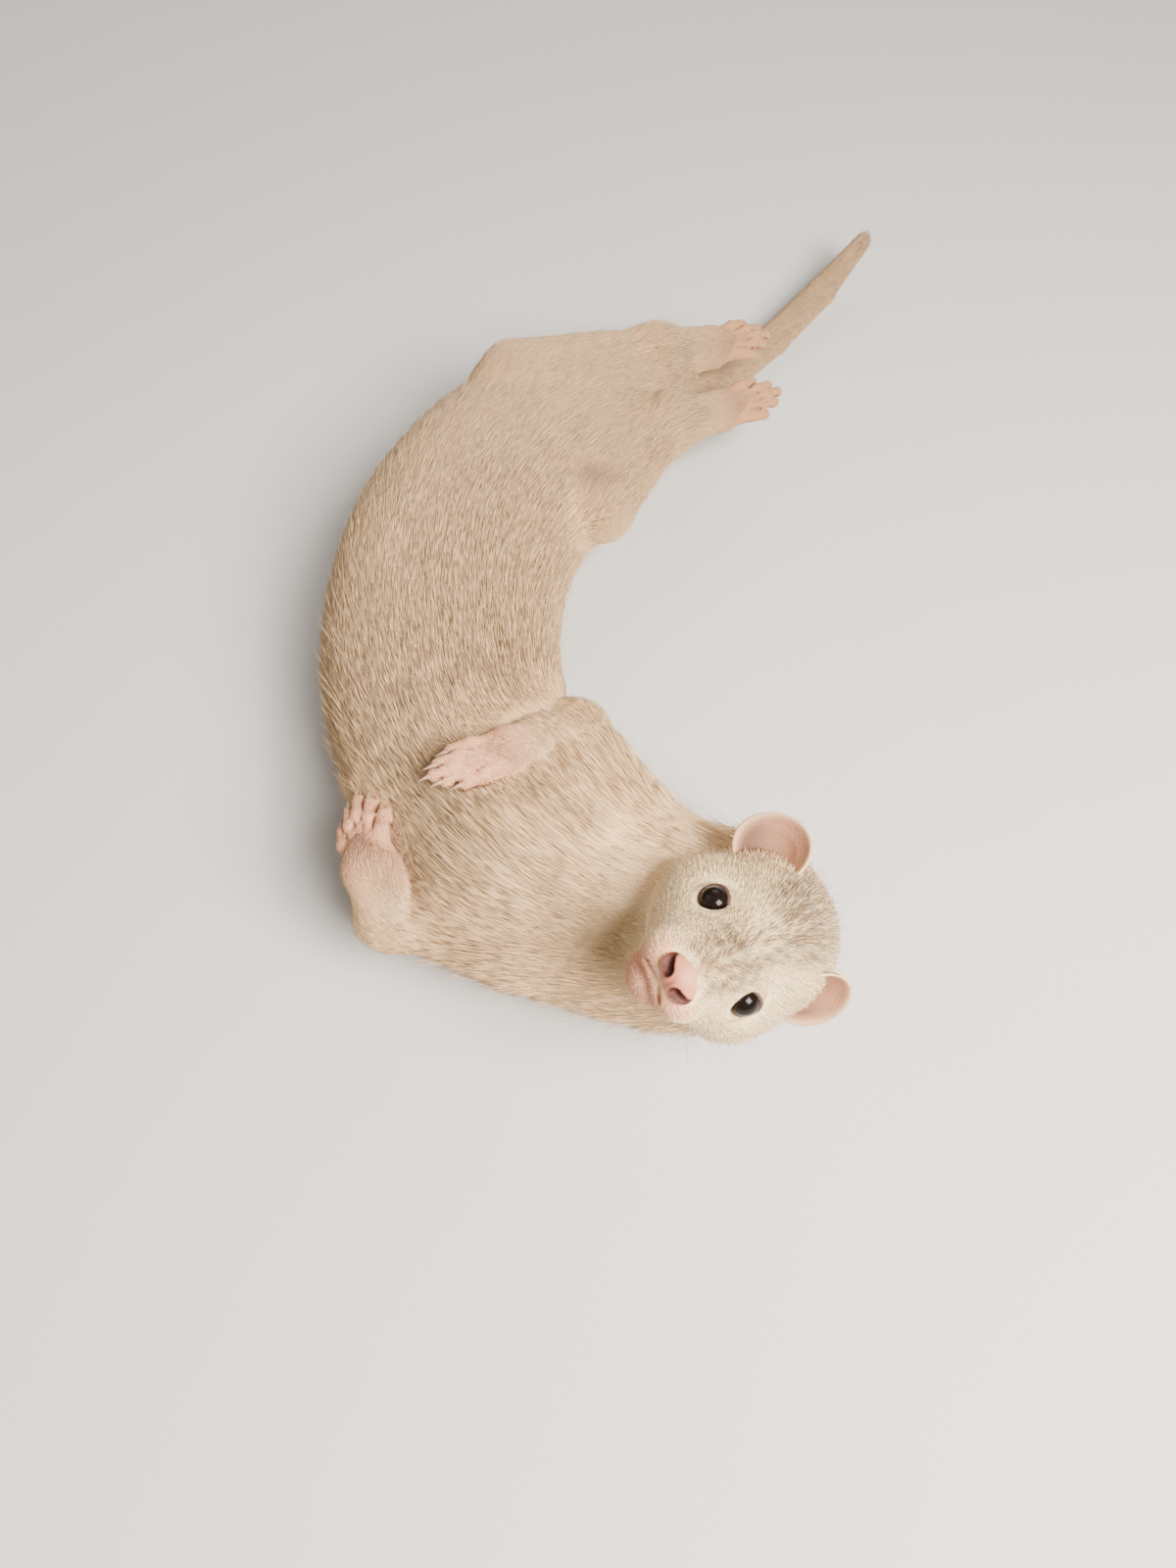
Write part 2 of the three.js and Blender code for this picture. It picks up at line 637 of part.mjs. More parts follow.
// A paw: a palm and five arched toes, each with a claw.
function pawParts(wrist, paw, kind) {
  const forwards = paw.tip.clone().sub(wrist);
  const length = forwards.length();
  forwards.normalize();
  const back = paw.back.clone().addScaledVector(forwards, -paw.back.dot(forwards)).normalize();
  const across = back.clone().cross(forwards);
  const at = (f, a, b) =>
    wrist
      .clone()
      .addScaledVector(forwards, f * length)
      .addScaledVector(across, a)
      .addScaledVector(back, b);
  const r = TOE_RADIUS[kind];
  const toes = Array.from({ length: TOES }, (_, i) => {
    const spread = (i - (TOES - 1) / 2) / ((TOES - 1) / 2);
    const end = 1 - r / length - 0.3 * Math.abs(spread) ** 1.6;
    const aside = spread * (paw.width / 2 - r);
    return {
      knuckle: at(end - 0.48, aside * 0.7, 0.4),
      bend: at(end - 0.22, aside * 0.93, 1.3),
      end: at(end, aside * 1.02, -0.5),
      clawEnd: at(end + CLAW_LENGTH[kind] / length, aside * 1.08, -2.6),
      back,
    };
  });
  const palm = blend(
    3,
    bone(wrist, at(0.4, 0, -0.6), paw.width * 0.4, paw.width * 0.3),
    bone(wrist, at(0.42, -paw.width * 0.23, -0.6), paw.width * 0.36, paw.width * 0.22),
    bone(wrist, at(0.42, paw.width * 0.23, -0.6), paw.width * 0.36, paw.width * 0.22),
  );
  return { toes, palm };
}

const toeSolid = (toe, r) => tubeSolid([toe.knuckle, toe.bend, toe.end], [r * 0.95, r, r * 0.92], 6, 2);

// A claw bends down from the end of its toe to a point.
function clawSolid(toe) {
  const from = toe.end.clone().lerp(toe.bend, 0.1).addScaledVector(toe.back, 0.3);
  const middle = from.clone().lerp(toe.clawEnd, 0.55).addScaledVector(toe.back, 0.6);
  return tubeSolid([from, middle, toe.clawEnd], [CLAW_RADIUS, CLAW_RADIUS * 0.75, 0.15], 5, 3, false);
}

// A limb's solid, taken off the trunk's skin but joined to its own root within the trunk.
function clearOfTrunk(solid, box, root) {
  const wider = box.clone().expandByScalar(8);
  return solid.subtract(fieldSolid(flesh, wider, CELL.trunk, STAND_OFF).subtract(root.within));
}
const rootSolid = (box, root) =>
  fieldSolid(flesh, box.clone().expandByScalar(8), CELL.leg).intersect(root.within);
const rooted = (solid, box, root) => clearOfTrunk(solid, box, root).add(rootSolid(box, root));

// A limb is two pieces, parted across the wrist or instep: the leg, and the paw with its claws.
function limbSolids(leg, kind) {
  const wrist = leg.joints.at(-1);
  const { toes, palm } = pawParts(wrist, leg.paw, kind);
  const whole = blend(3, limb(6, leg.joints, leg.radii), palm);
  const outwards = leg.paw.tip.clone().sub(wrist).normalize();
  outwards.add(wrist.clone().sub(leg.joints.at(-2)).normalize()).normalize();
  const parting = { point: wrist, normal: outwards };
  const root = rootFor(leg);

  // A leg that lies along the trunk all its length is wholly root.
  const legBox = boxRound(leg.joints, 24);
  const isFree = leg.rooted < leg.joints.length;
  const free = isFree && fieldSolid(whole, legBox, CELL.leg);
  const legSolid = (isFree ? rooted(free, legBox, root) : rootSolid(legBox, root)).subtract(FLOOR);

  const pawBox = boxRound([wrist, leg.paw.tip], 14);
  const pawFlesh = fieldSolid(whole, pawBox, CELL.palm).subtract(before(parting));
  const pawSolid = toes
    .flatMap((toe) => [toeSolid(toe, TOE_RADIUS[kind]), clawSolid(toe)])
    .reduce((solid, piece) => solid.add(piece), pawFlesh);
  return [
    largest(betweenPlanes(legSolid, null, parting)),
    largest(clearOfTrunk(pawSolid, pawBox, root).subtract(FLOOR)),
  ];
}

// The tail, in a base and a tip.
function tailSolids() {
  const free = tubeSolid(TAIL.joints, TAIL.radii, 12, 15);
  const whole = rooted(free, boxRound(TAIL.joints, 14), rootFor(TAIL)).subtract(FLOOR);
  const middle = { point: TAIL.joints[3], normal: TAIL.joints[4].clone().sub(TAIL.joints[2]).normalize() };
  return [largest(betweenPlanes(whole, null, middle)), largest(betweenPlanes(whole, middle, null))];
}

// The materials.
const finish = (color, roughness) => new THREE.MeshStandardMaterial({ color, roughness, metalness: 0 });
const CREAM_FUR = finish(0xd9c4a6, 0.9);
const FACE_FUR = finish(0xe0d0ba, 0.9);
const PINK_SKIN = finish(0xd9a08c, 0.65);
const NOSE_SKIN = finish(0xdc8a78, 0.45);
const DARK_EYE = finish(0x120c0a, 0.08);

function meshOf(name, solid, material) {
  const geometry = geometryOf(solid);
  geometry.computeVertexNormals();
  const mesh = new THREE.Mesh(geometry, material);
  mesh.name = name;
  return mesh;
}

const ferret = new THREE.Group();
ferret.name = "ferret";

ferret.add(meshOf("head", headSolid(), FACE_FUR));
ferret.add(meshOf("nose", noseSolid(), NOSE_SKIN));
ferret.add(meshOf("neck", trunkPiece(0, CUT.neck), CREAM_FUR));
ferret.add(meshOf("chest", trunkPiece(CUT.neck, CUT.chest), CREAM_FUR));
ferret.add(meshOf("belly", trunkPiece(CUT.chest, CUT.belly), CREAM_FUR));
ferret.add(meshOf("hips", trunkPiece(CUT.belly, 1), CREAM_FUR));

for (const [name, side] of Object.entries(SIDES)) {
  const eye = new THREE.Mesh(new THREE.SphereGeometry(EYE.radius, 16, 10), DARK_EYE);
  eye.name = `eye_${name}`;
  eye.position.copy(eyeCentre(side));
  ferret.add(eye);
  ferret.add(meshOf(`ear_${name}`, earSolid(name), PINK_SKIN));
  const [foreleg, forepaw] = limbSolids(FORELEGS[name], "fore");
  ferret.add(meshOf(`foreleg_${name}`, foreleg, CREAM_FUR), meshOf(`forepaw_${name}`, forepaw, PINK_SKIN));
  const [hindleg, hindfoot] = limbSolids(HINDLEGS[name], "hind");
  ferret.add(meshOf(`hindleg_${name}`, hindleg, CREAM_FUR), meshOf(`hindfoot_${name}`, hindfoot, PINK_SKIN));
}
const [tailBase, tailTip] = tailSolids();
ferret.add(meshOf("tail_base", tailBase, CREAM_FUR), meshOf("tail_tip", tailTip, CREAM_FUR));

export default ferret;
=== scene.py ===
import math

import bpy
import numpy as np
import openvdb
from mathutils import Matrix, Vector


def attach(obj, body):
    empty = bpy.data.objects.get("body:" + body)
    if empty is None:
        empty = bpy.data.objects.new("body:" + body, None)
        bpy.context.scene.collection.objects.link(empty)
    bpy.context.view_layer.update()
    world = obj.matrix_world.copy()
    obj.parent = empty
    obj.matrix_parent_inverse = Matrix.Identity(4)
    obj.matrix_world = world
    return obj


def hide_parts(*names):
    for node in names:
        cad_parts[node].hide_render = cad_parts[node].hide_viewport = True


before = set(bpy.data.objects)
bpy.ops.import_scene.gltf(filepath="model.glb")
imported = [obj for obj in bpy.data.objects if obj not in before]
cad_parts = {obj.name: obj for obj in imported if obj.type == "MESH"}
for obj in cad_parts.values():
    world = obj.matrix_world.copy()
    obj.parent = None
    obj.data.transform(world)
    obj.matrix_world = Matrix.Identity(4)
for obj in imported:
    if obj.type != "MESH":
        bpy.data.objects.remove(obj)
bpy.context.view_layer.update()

MM = 0.001
rng = np.random.default_rng(11)


def v3(*xyz):
    return np.array(xyz, float)


def unit(v):
    v = np.asarray(v, float)
    return v / np.maximum(np.linalg.norm(v, axis=-1, keepdims=True), 1e-9)


# The animal's sizes, as in its solids

TRUNK = [
    (v3(80, -97.5, 28), 26.5, 23, 0),
    (v3(64, -95.5, 25.5), 30, 26, 0),
    (v3(45, -91, 26), 30, 27, 0),
    (v3(25, -79, 28.5), 33, 29.5, 0),
    (v3(9, -58, 29.5), 34.5, 30.6, 0),
    (v3(0, -33, 29), 36, 30.2, 0),
    (v3(-4, -4, 29), 37, 30.3, 0),
    (v3(1, 32, 29.5), 37, 30.8, 3),
    (v3(17, 65, 28), 35.5, 29.4, 6),
    (v3(42, 90, 25), 30, 26.2, 6),
    (v3(62, 102, 21), 19, 20, 6),
]
TRUNK_STEPS = 60
TRUNK_ROUNDNESS = 2.25

EYES_MIDDLE = v3(71.3, -120.5, 68)
FORWARDS = unit(v3(-0.325, -0.4805, 0.8142))
LEFT = unit(np.cross(v3(0.8996, 0.0994, 0.419), FORWARDS))
UPWARDS = unit(np.cross(FORWARDS, LEFT))
HEAD_AXES = np.array([FORWARDS, LEFT, UPWARDS])
SIDES = {"left": 1, "right": -1}
EYE_RADIUS = 3.9
EYE_ASIDE = 10.9
EYE_GAZE = v3(0.82, 0.55, 0.18)
EYE_OPEN = (4.1, 3.65)
LID = 0.6
NOSE_AT = v3(26, 0.5, -5)
EAR_AT = {"left": v3(-20.5, 18.4, 10.7), "right": v3(-20.5, 19, 12)}
EAR_OPENING = {"left": v3(0.66, 0.72, 0.15), "right": v3(0.93, 0.33, 0.15)}
EAR_OUTWARDS = v3(-0.2, 0.8, 0.55)
EAR_REACH = 9.3
EAR_DEPTH = 5.5
LIP = [v3(26, 0, -10.3), v3(23.5, 4, -10.8), v3(18, 7.5, -11.2), v3(11, 10.5, -11.8), v3(4, 14.5, -13)]
LIP_WIDTHS = [0.8, 0.75, 0.7, 0.6, 0.35]

LIMBS = {
    "foreleg_right": dict(
        joints=[v3(52, -70, 32), v3(37, -45.5, 40), v3(19, -62.5, 58.5)],
        radii=[14, 9.5, 6], rooted=2, tip=v3(0.5, -73.5, 64), back=v3(0.1, -0.35, 1), width=13,
        toe=2.1, claw=6.5,
    ),
    "foreleg_left": dict(
        joints=[v3(22, -99, 28), v3(-11.5, -95, 28), v3(-14.5, -90, 46)],
        radii=[14, 9.5, 7.5], rooted=2, tip=v3(-20.5, -68.5, 47), back=v3(-0.35, -0.3, 1), width=16,
        toe=2.1, claw=6.5,
    ),
    "hindleg_right": dict(
        joints=[v3(46, 80, 27), v3(43, 43, 36), v3(66, 80, 35), v3(85, 91, 31)],
        radii=[18, 12, 10, 6.5], rooted=2, tip=v3(108, 104, 29), back=v3(0.1, -0.6, 1), width=16,
        toe=2.2, claw=4.8,
    ),
    "hindleg_left": dict(
        joints=[v3(48, 99, 26), v3(16, 93.5, 42), v3(62, 108.5, 40), v3(83, 119.5, 34)],
        radii=[17, 12.5, 10, 7.3], rooted=4, tip=v3(106, 131, 31), back=v3(0.1, -0.5, 1), width=15.5,
        toe=2.2, claw=4.8,
    ),
}
TAIL = dict(
    joints=[v3(62, 104, 20), v3(78, 118, 12), v3(93, 137, 6.8), v3(112, 158, 6.3), v3(132, 181, 10),
            v3(150, 203, 17)],
    radii=[11, 8.5, 7.3, 6.8, 6.4, 4.2], rooted=2,
)

LIMBS_AND_TAIL = {**LIMBS, "tail": TAIL}

# How far the skin lies below the tips of the coat
COAT_DEPTH = {"body": 2.4, "face": 0.6, "paw": 0.5, "toe": 0.3, "tail": 1.3}
SKIN_CELL = 0.85


# Distance fields on arrays of points: negative inside, positive outside


def step01(t):
    t = np.clip(t, 0, 1)
    return t * t * (3 - 2 * t)


def bone(p, a, b, ra, rb):
    ab = b - a
    t = np.clip((p - a) @ ab / (ab @ ab), 0, 1)
    return np.linalg.norm(p - a - t[:, None] * ab, axis=1) - (ra + (rb - ra) * t)


def distance(p, place):
    return np.linalg.norm(p - place, axis=1)


def lump(p, centre, radii):
    q = (p - centre) / radii
    near = np.linalg.norm(q, axis=1)
    slope = np.linalg.norm(q / radii, axis=1)
    return near * (near - 1) / np.maximum(slope, 1e-6)


def smooth_min(a, b, k):
    h = np.maximum(k - np.abs(a - b), 0)
    return np.minimum(a, b) - h * h / (4 * k)


def smooth_max(a, b, k):
    return -smooth_min(-a, -b, k)


def blend(k, values):
    near = values[0]
    for value in values[1:]:
        near = smooth_min(near, value, k)
    return near


def limb(p, k, joints, radii):
    return blend(k, [bone(p, *ends) for ends in zip(joints, joints[1:], radii, radii[1:])])


def nearby(p, corners, margin, field):
    """The field's values near a set of points, and a large value elsewhere."""
    low = np.min(corners, axis=0) - margin
    high = np.max(corners, axis=0) + margin
    inside = np.all((p > low) & (p < high), axis=1)
    values = np.full(len(p), 60.0)
    if inside.any():
        values[inside] = field(p[inside])
    return values


def curve_point(points, t):
    """A point on the smooth (centripetal) curve through a list of points."""
    last = len(points) - 1
    i = min(int(last * t), last - 1)
    w = last * t - i
    p1, p2 = points[i], points[i + 1]
    p0 = points[i - 1] if i > 0 else 2 * p1 - p2
    p3 = points[i + 2] if i + 2 <= last else 2 * p2 - p1
    d0, d1, d2 = (max(np.linalg.norm(b - a), 1e-8) ** 0.5 for a, b in ((p0, p1), (p1, p2), (p2, p3)))
    d1 = d1 if d1 > 1e-4 else 1.0
    d0 = d0 if d0 > 1e-4 else d1
    d2 = d2 if d2 > 1e-4 else d1
    t1 = ((p1 - p0) / d0 - (p2 - p0) / (d0 + d1) + (p2 - p1) / d1) * d1
    t2 = ((p2 - p1) / d1 - (p3 - p1) / (d1 + d2) + (p3 - p2) / d2) * d1
    c2 = -3 * p1 + 3 * p2 - 2 * t1 - t2
    c3 = 2 * p1 - 2 * p2 + t1 + t2
    return p1 + t1 * w + c2 * w * w + c3 * w**3


def turned(v, axis, degrees):
    return np.array(Matrix.Rotation(math.radians(degrees), 3, Vector(axis)) @ Vector(v))


def trunk_sections():
    centres = [row[0] for row in TRUNK]
    sizes = [v3(*row[1:]) for row in TRUNK]
    rows = []
    for i in range(TRUNK_STEPS + 1):
        t = i / TRUNK_STEPS
        wide, high, roll = curve_point(sizes, t)
        before, after = (curve_point(centres, min(max(t + e, 0), 1)) for e in (-1e-4, 1e-4))
        along = unit(after - before)
        side = turned(unit(np.cross(along, v3(0, 0, 1))), along, roll)
        rows.append((curve_point(centres, t), along, side, unit(np.cross(side, along)), wide, high))
    return [np.array(column) for column in zip(*rows)]


CENTRES, ALONG, ASIDE, ABOVE, WIDE, HIGH = trunk_sections()


def trunk_place(p):
    """For each point: its section, its share of the way to the next, and its nearest centre."""
    nearest = np.argmin((CENTRES**2).sum(1) - 2 * p @ CENTRES.T, axis=1)
    best = None
    for index in (np.maximum(nearest - 1, 0), np.minimum(nearest, TRUNK_STEPS - 1)):
        a = CENTRES[index]
        u = CENTRES[index + 1] - a
        t = np.clip(((p - a) * u).sum(1) / (u * u).sum(1), 0, 1)
        d = ((p - a - t[:, None] * u) ** 2).sum(1)
        if best is None:
            best = [d, index, t]
        else:
            closer = d < best[0]
            best = [np.where(closer, new, old) for new, old in zip((d, index, t), best)]
    return best[1], best[2]


def mixed(rows, index, t):
    share = t[:, None] if rows.ndim > 1 else t
    return rows[index] * (1 - share) + rows[index + 1] * share


def trunk_local(p):
    index, t = trunk_place(p)
    off = p - mixed(CENTRES, index, t)
    side = (off * mixed(ASIDE, index, t)).sum(1)
    up = (off * mixed(ABOVE, index, t)).sum(1)
    past = (off * ALONG[index]).sum(1)
    return index, t, side, up, past


def share_along(p):
    """How far along the trunk each point is: 0 at the neck, 1 at the tail."""
    index, t = trunk_place(p)
    return (index + t) / TRUNK_STEPS


def trunk(p):
    index, t, side, up, past = trunk_local(p)
    wide = mixed(WIDE, index, t)
    high = mixed(HIGH, index, t)
    reach = np.sqrt(side**2 + up**2 + past**2) + 1e-6
    n = TRUNK_ROUNDNESS
    ring = (np.abs(side / wide) ** n + np.abs(up / high) ** n) ** (2 / n)
    near = np.sqrt(ring + (past / high) ** 2) + 1e-6
    return reach - reach / near


def in_head(p):
    """Places in the head's own axes: forwards, left and up from the point between the eyes."""
    return (p - EYES_MIDDLE) @ HEAD_AXES.T


def from_head(q):
    return EYES_MIDDLE + np.asarray(q, float) @ HEAD_AXES


def mirror(q, side):
    return np.asarray(q, float) * v3(1, side, 1)


def head_shape(q):
    """The head's outline in its own axes."""
    skull = blend(6, [
        lump(q, v3(-27, 0, 1), v3(26.5, 21, 19.8)),
        bone(q, v3(-13, 0, 2.5), v3(10, 0, -1.4), 14.5, 8.3),
        bone(q, v3(0, 0, -4.5), v3(20.5, 0.3, -5.8), 9.5, 7.4),
        bone(q, v3(-15, 9.5, -7.5), v3(15, 4.2, -9), 13, 5.8),
        bone(q, v3(-15, -9.5, -7.5), v3(15, -4.2, -9), 13, 5.8),
    ])
    pads = [lump(q, v3(18.5, 4.9 * s, -8), v3(7.5, 5.6, 5.2)) for s in (1, -1)]
    jaw = blend(4, [
        bone(q, v3(-13, 0, -12.5), v3(12, 0, -14), 12, 6.6),
        lump(q, v3(15.5, 0.3, -14.2), v3(6.2, 5.8, 4.8)),
    ])
    return smooth_min(blend(3, [skull] + pads), jaw, 1.2)


def eye_middle(side):
    return v3(0, EYE_ASIDE * side, 0)


def eye_axes(side):
    """An eye's own axes: across the lids, up, and along its gaze, in the head's axes."""
    gaze = unit(mirror(EYE_GAZE, side))
    up = unit(v3(0, 0, 1) - gaze[2] * gaze)
    return np.array([np.cross(up, gaze), up, gaze])


def face_details(q, near):
    """Adds the lids, the mouth line and the groove under the nose to the face's skin."""
    for side in (1, -1):
        centre = eye_middle(side)
        e = (q - centre) @ eye_axes(side).T
        lids = distance(q, centre) - (EYE_RADIUS + LID)
        near = smooth_min(near, lids, 1.6)
        opening = (np.sqrt((e[:, 0] / EYE_OPEN[0]) ** 2 + (e[:, 1] / EYE_OPEN[1]) ** 2) - 1) * EYE_OPEN[1]
        opening = np.maximum(opening, 0.5 - e[:, 2])
        near = smooth_max(near, -opening, 0.5)
        lip = [mirror(at, side) for at in LIP]
        near = smooth_max(near, -limb(q, 0.3, lip, LIP_WIDTHS), 0.7)
    groove = bone(q, v3(28.6, 0.4, -7.5), v3(26.6, 0.2, -11), 0.45, 0.4)
    return smooth_max(near, -groove, 0.4)


def reach_of(one):
    """The joints and radii of a leg out to the ends of its toes, or of the tail."""
    if "tip" not in one:
        return one["joints"], one["radii"]
    return one["joints"] + [one["tip"]], one["radii"] + [one["toe"] * 2]


def paw_middle(leg):
    return (leg["tip"] + leg["joints"][-1]) / 2


def root_bones(p, one):
    joints, radii = one["joints"][: one["rooted"]], one["radii"][: one["rooted"]]
    return nearby(p, joints, 40, lambda q: limb(q, 6, joints, radii))


def paw_frame(leg):
    wrist = leg["joints"][-1]
    forwards = leg["tip"] - wrist
    length = np.linalg.norm(forwards)
    forwards = forwards / length
    back = unit(leg["back"] - (leg["back"] @ forwards) * forwards)
    across = np.cross(back, forwards)

    def at(f, a, b):
        return wrist + forwards * f * length + across * a + back * b

    return at, length, back


def toes_of(leg):
    at, length, back = paw_frame(leg)
    r = leg["toe"]
    toes = []
    for i in range(5):
        spread = (i - 2) / 2
        end = 1 - r / length - 0.3 * abs(spread) ** 1.6
        aside = spread * (leg["width"] / 2 - r)
        toes.append(dict(
            knuckle=at(end - 0.48, aside * 0.7, 0.4),
            bend=at(end - 0.22, aside * 0.93, 1.3),
            end=at(end, aside * 1.02, -0.5),
            claw=at(end + leg["claw"] / length, aside * 1.08, -2.6),
            back=back,
        ))
    return toes


def palm_shape(p, leg):
    at, _, _ = paw_frame(leg)
    wrist, width = leg["joints"][-1], leg["width"]
    return blend(3, [
        bone(p, wrist, at(0.4, 0, -0.6), width * 0.4, width * 0.3),
        bone(p, wrist, at(0.42, -width * 0.23, -0.6), width * 0.36, width * 0.22),
        bone(p, wrist, at(0.42, width * 0.23, -0.6), width * 0.36, width * 0.22),
    ])


def toe_shapes(p, leg):
    r = leg["toe"]
    pads = []
    for toe in toes_of(leg):
        joints = [toe["knuckle"], toe["bend"], toe["end"]]
        pads.append(limb(p, 0.8, joints, [r * 0.95, r, r * 0.92]))
    return blend(0.5, pads)


def paw_outline(p, leg):
    wrist = bone(p, leg["joints"][-2], leg["joints"][-1], leg["radii"][-2], leg["radii"][-1])
    return np.minimum(np.minimum(wrist, palm_shape(p, leg)), toe_shapes(p, leg))


def toe_gaps(p, leg):
    """The grooves between the toes, along the back of the paw."""
    toes = toes_of(leg)
    near = np.full(len(p), 60.0)
    for first, second in zip(toes, toes[1:]):
        start = (first["knuckle"] + second["knuckle"]) / 2 + (leg["toe"] + 0.8) * leg_back(leg)
        end = (first["end"] + second["end"]) / 2 + 0.4 * leg_back(leg)
        near = np.minimum(near, bone(p, start, end, 0.25, 0.75))
    return near


def leg_back(leg):
    return paw_frame(leg)[2]


def leg_skin(p, leg):
    """A leg and its paw, each within the coat's depth there."""
    wrist = leg["joints"][-1]
    furry = step01(distance(p, wrist) / 30)
    depth = COAT_DEPTH["paw"] + (COAT_DEPTH["body"] - 0.4 - COAT_DEPTH["paw"]) * furry
    upper = smooth_min(limb(p, 6, leg["joints"], leg["radii"]), palm_shape(p, leg), 3)
    whole = smooth_min(upper + depth, toe_shapes(p, leg) + COAT_DEPTH["toe"], 1.0)
    return smooth_max(whole, -toe_gaps(p, leg), 0.6)


def body_skin(p):
    q = in_head(p)
    outline = blend(11, [trunk(p), nearby(p, [EYES_MIDDLE], 75, lambda r: head_shape(in_head(r)))]
                    + [root_bones(p, one) for one in LIMBS_AND_TAIL.values()])
    furry = step01((distance(q, v3(-4, 0, -2)) - 27) / 22)
    near = outline + COAT_DEPTH["face"] + (COAT_DEPTH["body"] - COAT_DEPTH["face"]) * furry
    face = np.all(np.abs(q - v3(14, 0, -6)) < v3(24, 22, 18), axis=1)
    if face.any():
        near[face] = face_details(q[face], near[face])
    return near


def whole_skin(p):
    near = body_skin(p)
    for leg in LIMBS.values():
        near = smooth_min(near, nearby(p, leg["joints"] + [leg["tip"]], 30, lambda q: leg_skin(q, leg)), 1.6)
    tail = nearby(p, TAIL["joints"], 20, lambda q: limb(q, 1, TAIL["joints"], TAIL["radii"]))
    tail = tail + COAT_DEPTH["tail"]
    return smooth_max(smooth_min(near, tail, 3), 0.35 - p[:, 2], 0.5)


def in_parts(field, p, most=250000):
    return np.concatenate([field(p[i : i + most]) for i in range(0, len(p), most)])


# Meshes


def field_surface(field, low, high, cell):
    """The closed surface of a field: points and triangles."""
    side = 4
    block = cell * side
    counts = np.ceil((high - low) / block).astype(int)
    ids = np.stack(np.meshgrid(*[np.arange(n) for n in counts], indexing="ij"), -1).reshape(-1, 3)
    middles = low + (ids + 0.5) * block
    band = 3 * cell
    ids = ids[np.abs(in_parts(field, middles)) < block * 0.9 + band]
    offsets = np.stack(np.meshgrid(*[np.arange(side)] * 3, indexing="ij"), -1).reshape(-1, 3)
    voxels = (ids[:, None] * side + offsets).reshape(-1, 3)
    values = in_parts(field, low + voxels * cell)
    values = np.clip(values, -band, band).astype(np.float32).reshape(-1, side, side, side)
    grid = openvdb.FloatGrid(float(band))
    grid.gridClass = openvdb.GridClass.LEVEL_SET
    for corner, value in zip(ids * side, values):
        grid.copyFromArray(np.ascontiguousarray(value), ijk=tuple(int(c) for c in corner))
    grid.signedFloodFill()
    points, triangles, quads = grid.convertToPolygons(isovalue=0.0, adaptivity=0.0)
    points = low + np.asarray(points, float) * cell
    triangles = [np.asarray(triangles, int).reshape(-1, 3)]
    quads = np.asarray(quads, int).reshape(-1, 4)
    triangles += [quads[:, [0, 1, 2]], quads[:, [0, 2, 3]]]
    return points, facing_out(points, np.concatenate(triangles))


def signed_volume(points, triangles):
    a, b, c = (points[triangles[:, i]] for i in range(3))
    return np.einsum("ij,ij->i", a, np.cross(b, c)).sum() / 6


def facing_out(points, faces):
    return faces if signed_volume(points, faces) > 0 else faces[:, ::-1]


def ring_faces(rows, around, closed=False):
    """Faces between rings of points; the last ring joins the first where closed."""
    k = np.arange(around)
    after = (k + 1) % around
    faces = []
    for row in range(rows if closed else rows - 1):
        here, there = row * around, (row + 1) % rows * around
        faces += [np.c_[here + k, here + after, there + after], np.c_[here + k, there + after, there + k]]
    return np.concatenate(faces)


def capped_faces(rows, around):
    """Faces between rings, closed by two more points: one before the first ring, one past the last."""
    k = np.arange(around)
    after = (k + 1) % around
    end = (rows - 1) * around
    start_cap = np.c_[after, k, k * 0 + rows * around]
    end_cap = np.c_[end + k, end + after, k * 0 + rows * around + 1]
    return np.concatenate([ring_faces(rows, around), start_cap, end_cap])


def slope_of(field, p, e=0.08):
    """The field's value and slope at each point."""
    corners = np.array([(1, -1, -1), (-1, -1, 1), (-1, 1, -1), (1, 1, 1)], float)
    values = [in_parts(field, p + e * corner) for corner in corners]
    return sum(values) / 4, sum(v[:, None] * corner for v, corner in zip(values, corners)) / (4 * e)


def settled(field, points, limit):
    """Moves points along the field's slope onto its surface, by less than a limit."""
    value, slope = slope_of(field, points)
    move = -value[:, None] * slope / np.maximum((slope**2).sum(1), 0.15)[:, None]
    size = np.linalg.norm(move, axis=1, keepdims=True)
    return points + move * np.minimum(1, limit / np.maximum(size, 1e-9))


def mesh_piece(name, points, faces, material, smooth=True):
    """A mesh object in metres from points in millimetres."""
    faces = np.asarray(faces, np.int32)
    mesh = bpy.data.meshes.new(name)
    mesh.vertices.add(len(points))
    mesh.vertices.foreach_set("co", (np.asarray(points) * MM).astype(np.float32).ravel())
    mesh.loops.add(faces.size)
    mesh.loops.foreach_set("vertex_index", faces.ravel())
    mesh.polygons.add(len(faces))
    mesh.polygons.foreach_set("loop_start", np.arange(0, faces.size, faces.shape[1], dtype=np.int32))
    mesh.polygons.foreach_set("use_smooth", np.full(len(faces), smooth))
    mesh.update(calc_edges=True)
    mesh.materials.append(material)
    piece = bpy.data.objects.new(name, mesh)
    bpy.context.scene.collection.objects.link(piece)
    return piece


def give(mesh, name, kind, field, values):
    layer = mesh.attributes.new(name, kind, "POINT")
    layer.data.foreach_set(field, np.ascontiguousarray(values, np.float32).ravel())


def give_tint(mesh, colours):
    give(mesh, "tint", "FLOAT_COLOR", "color", np.c_[np.clip(colours, 0, 1), np.ones(len(colours))])


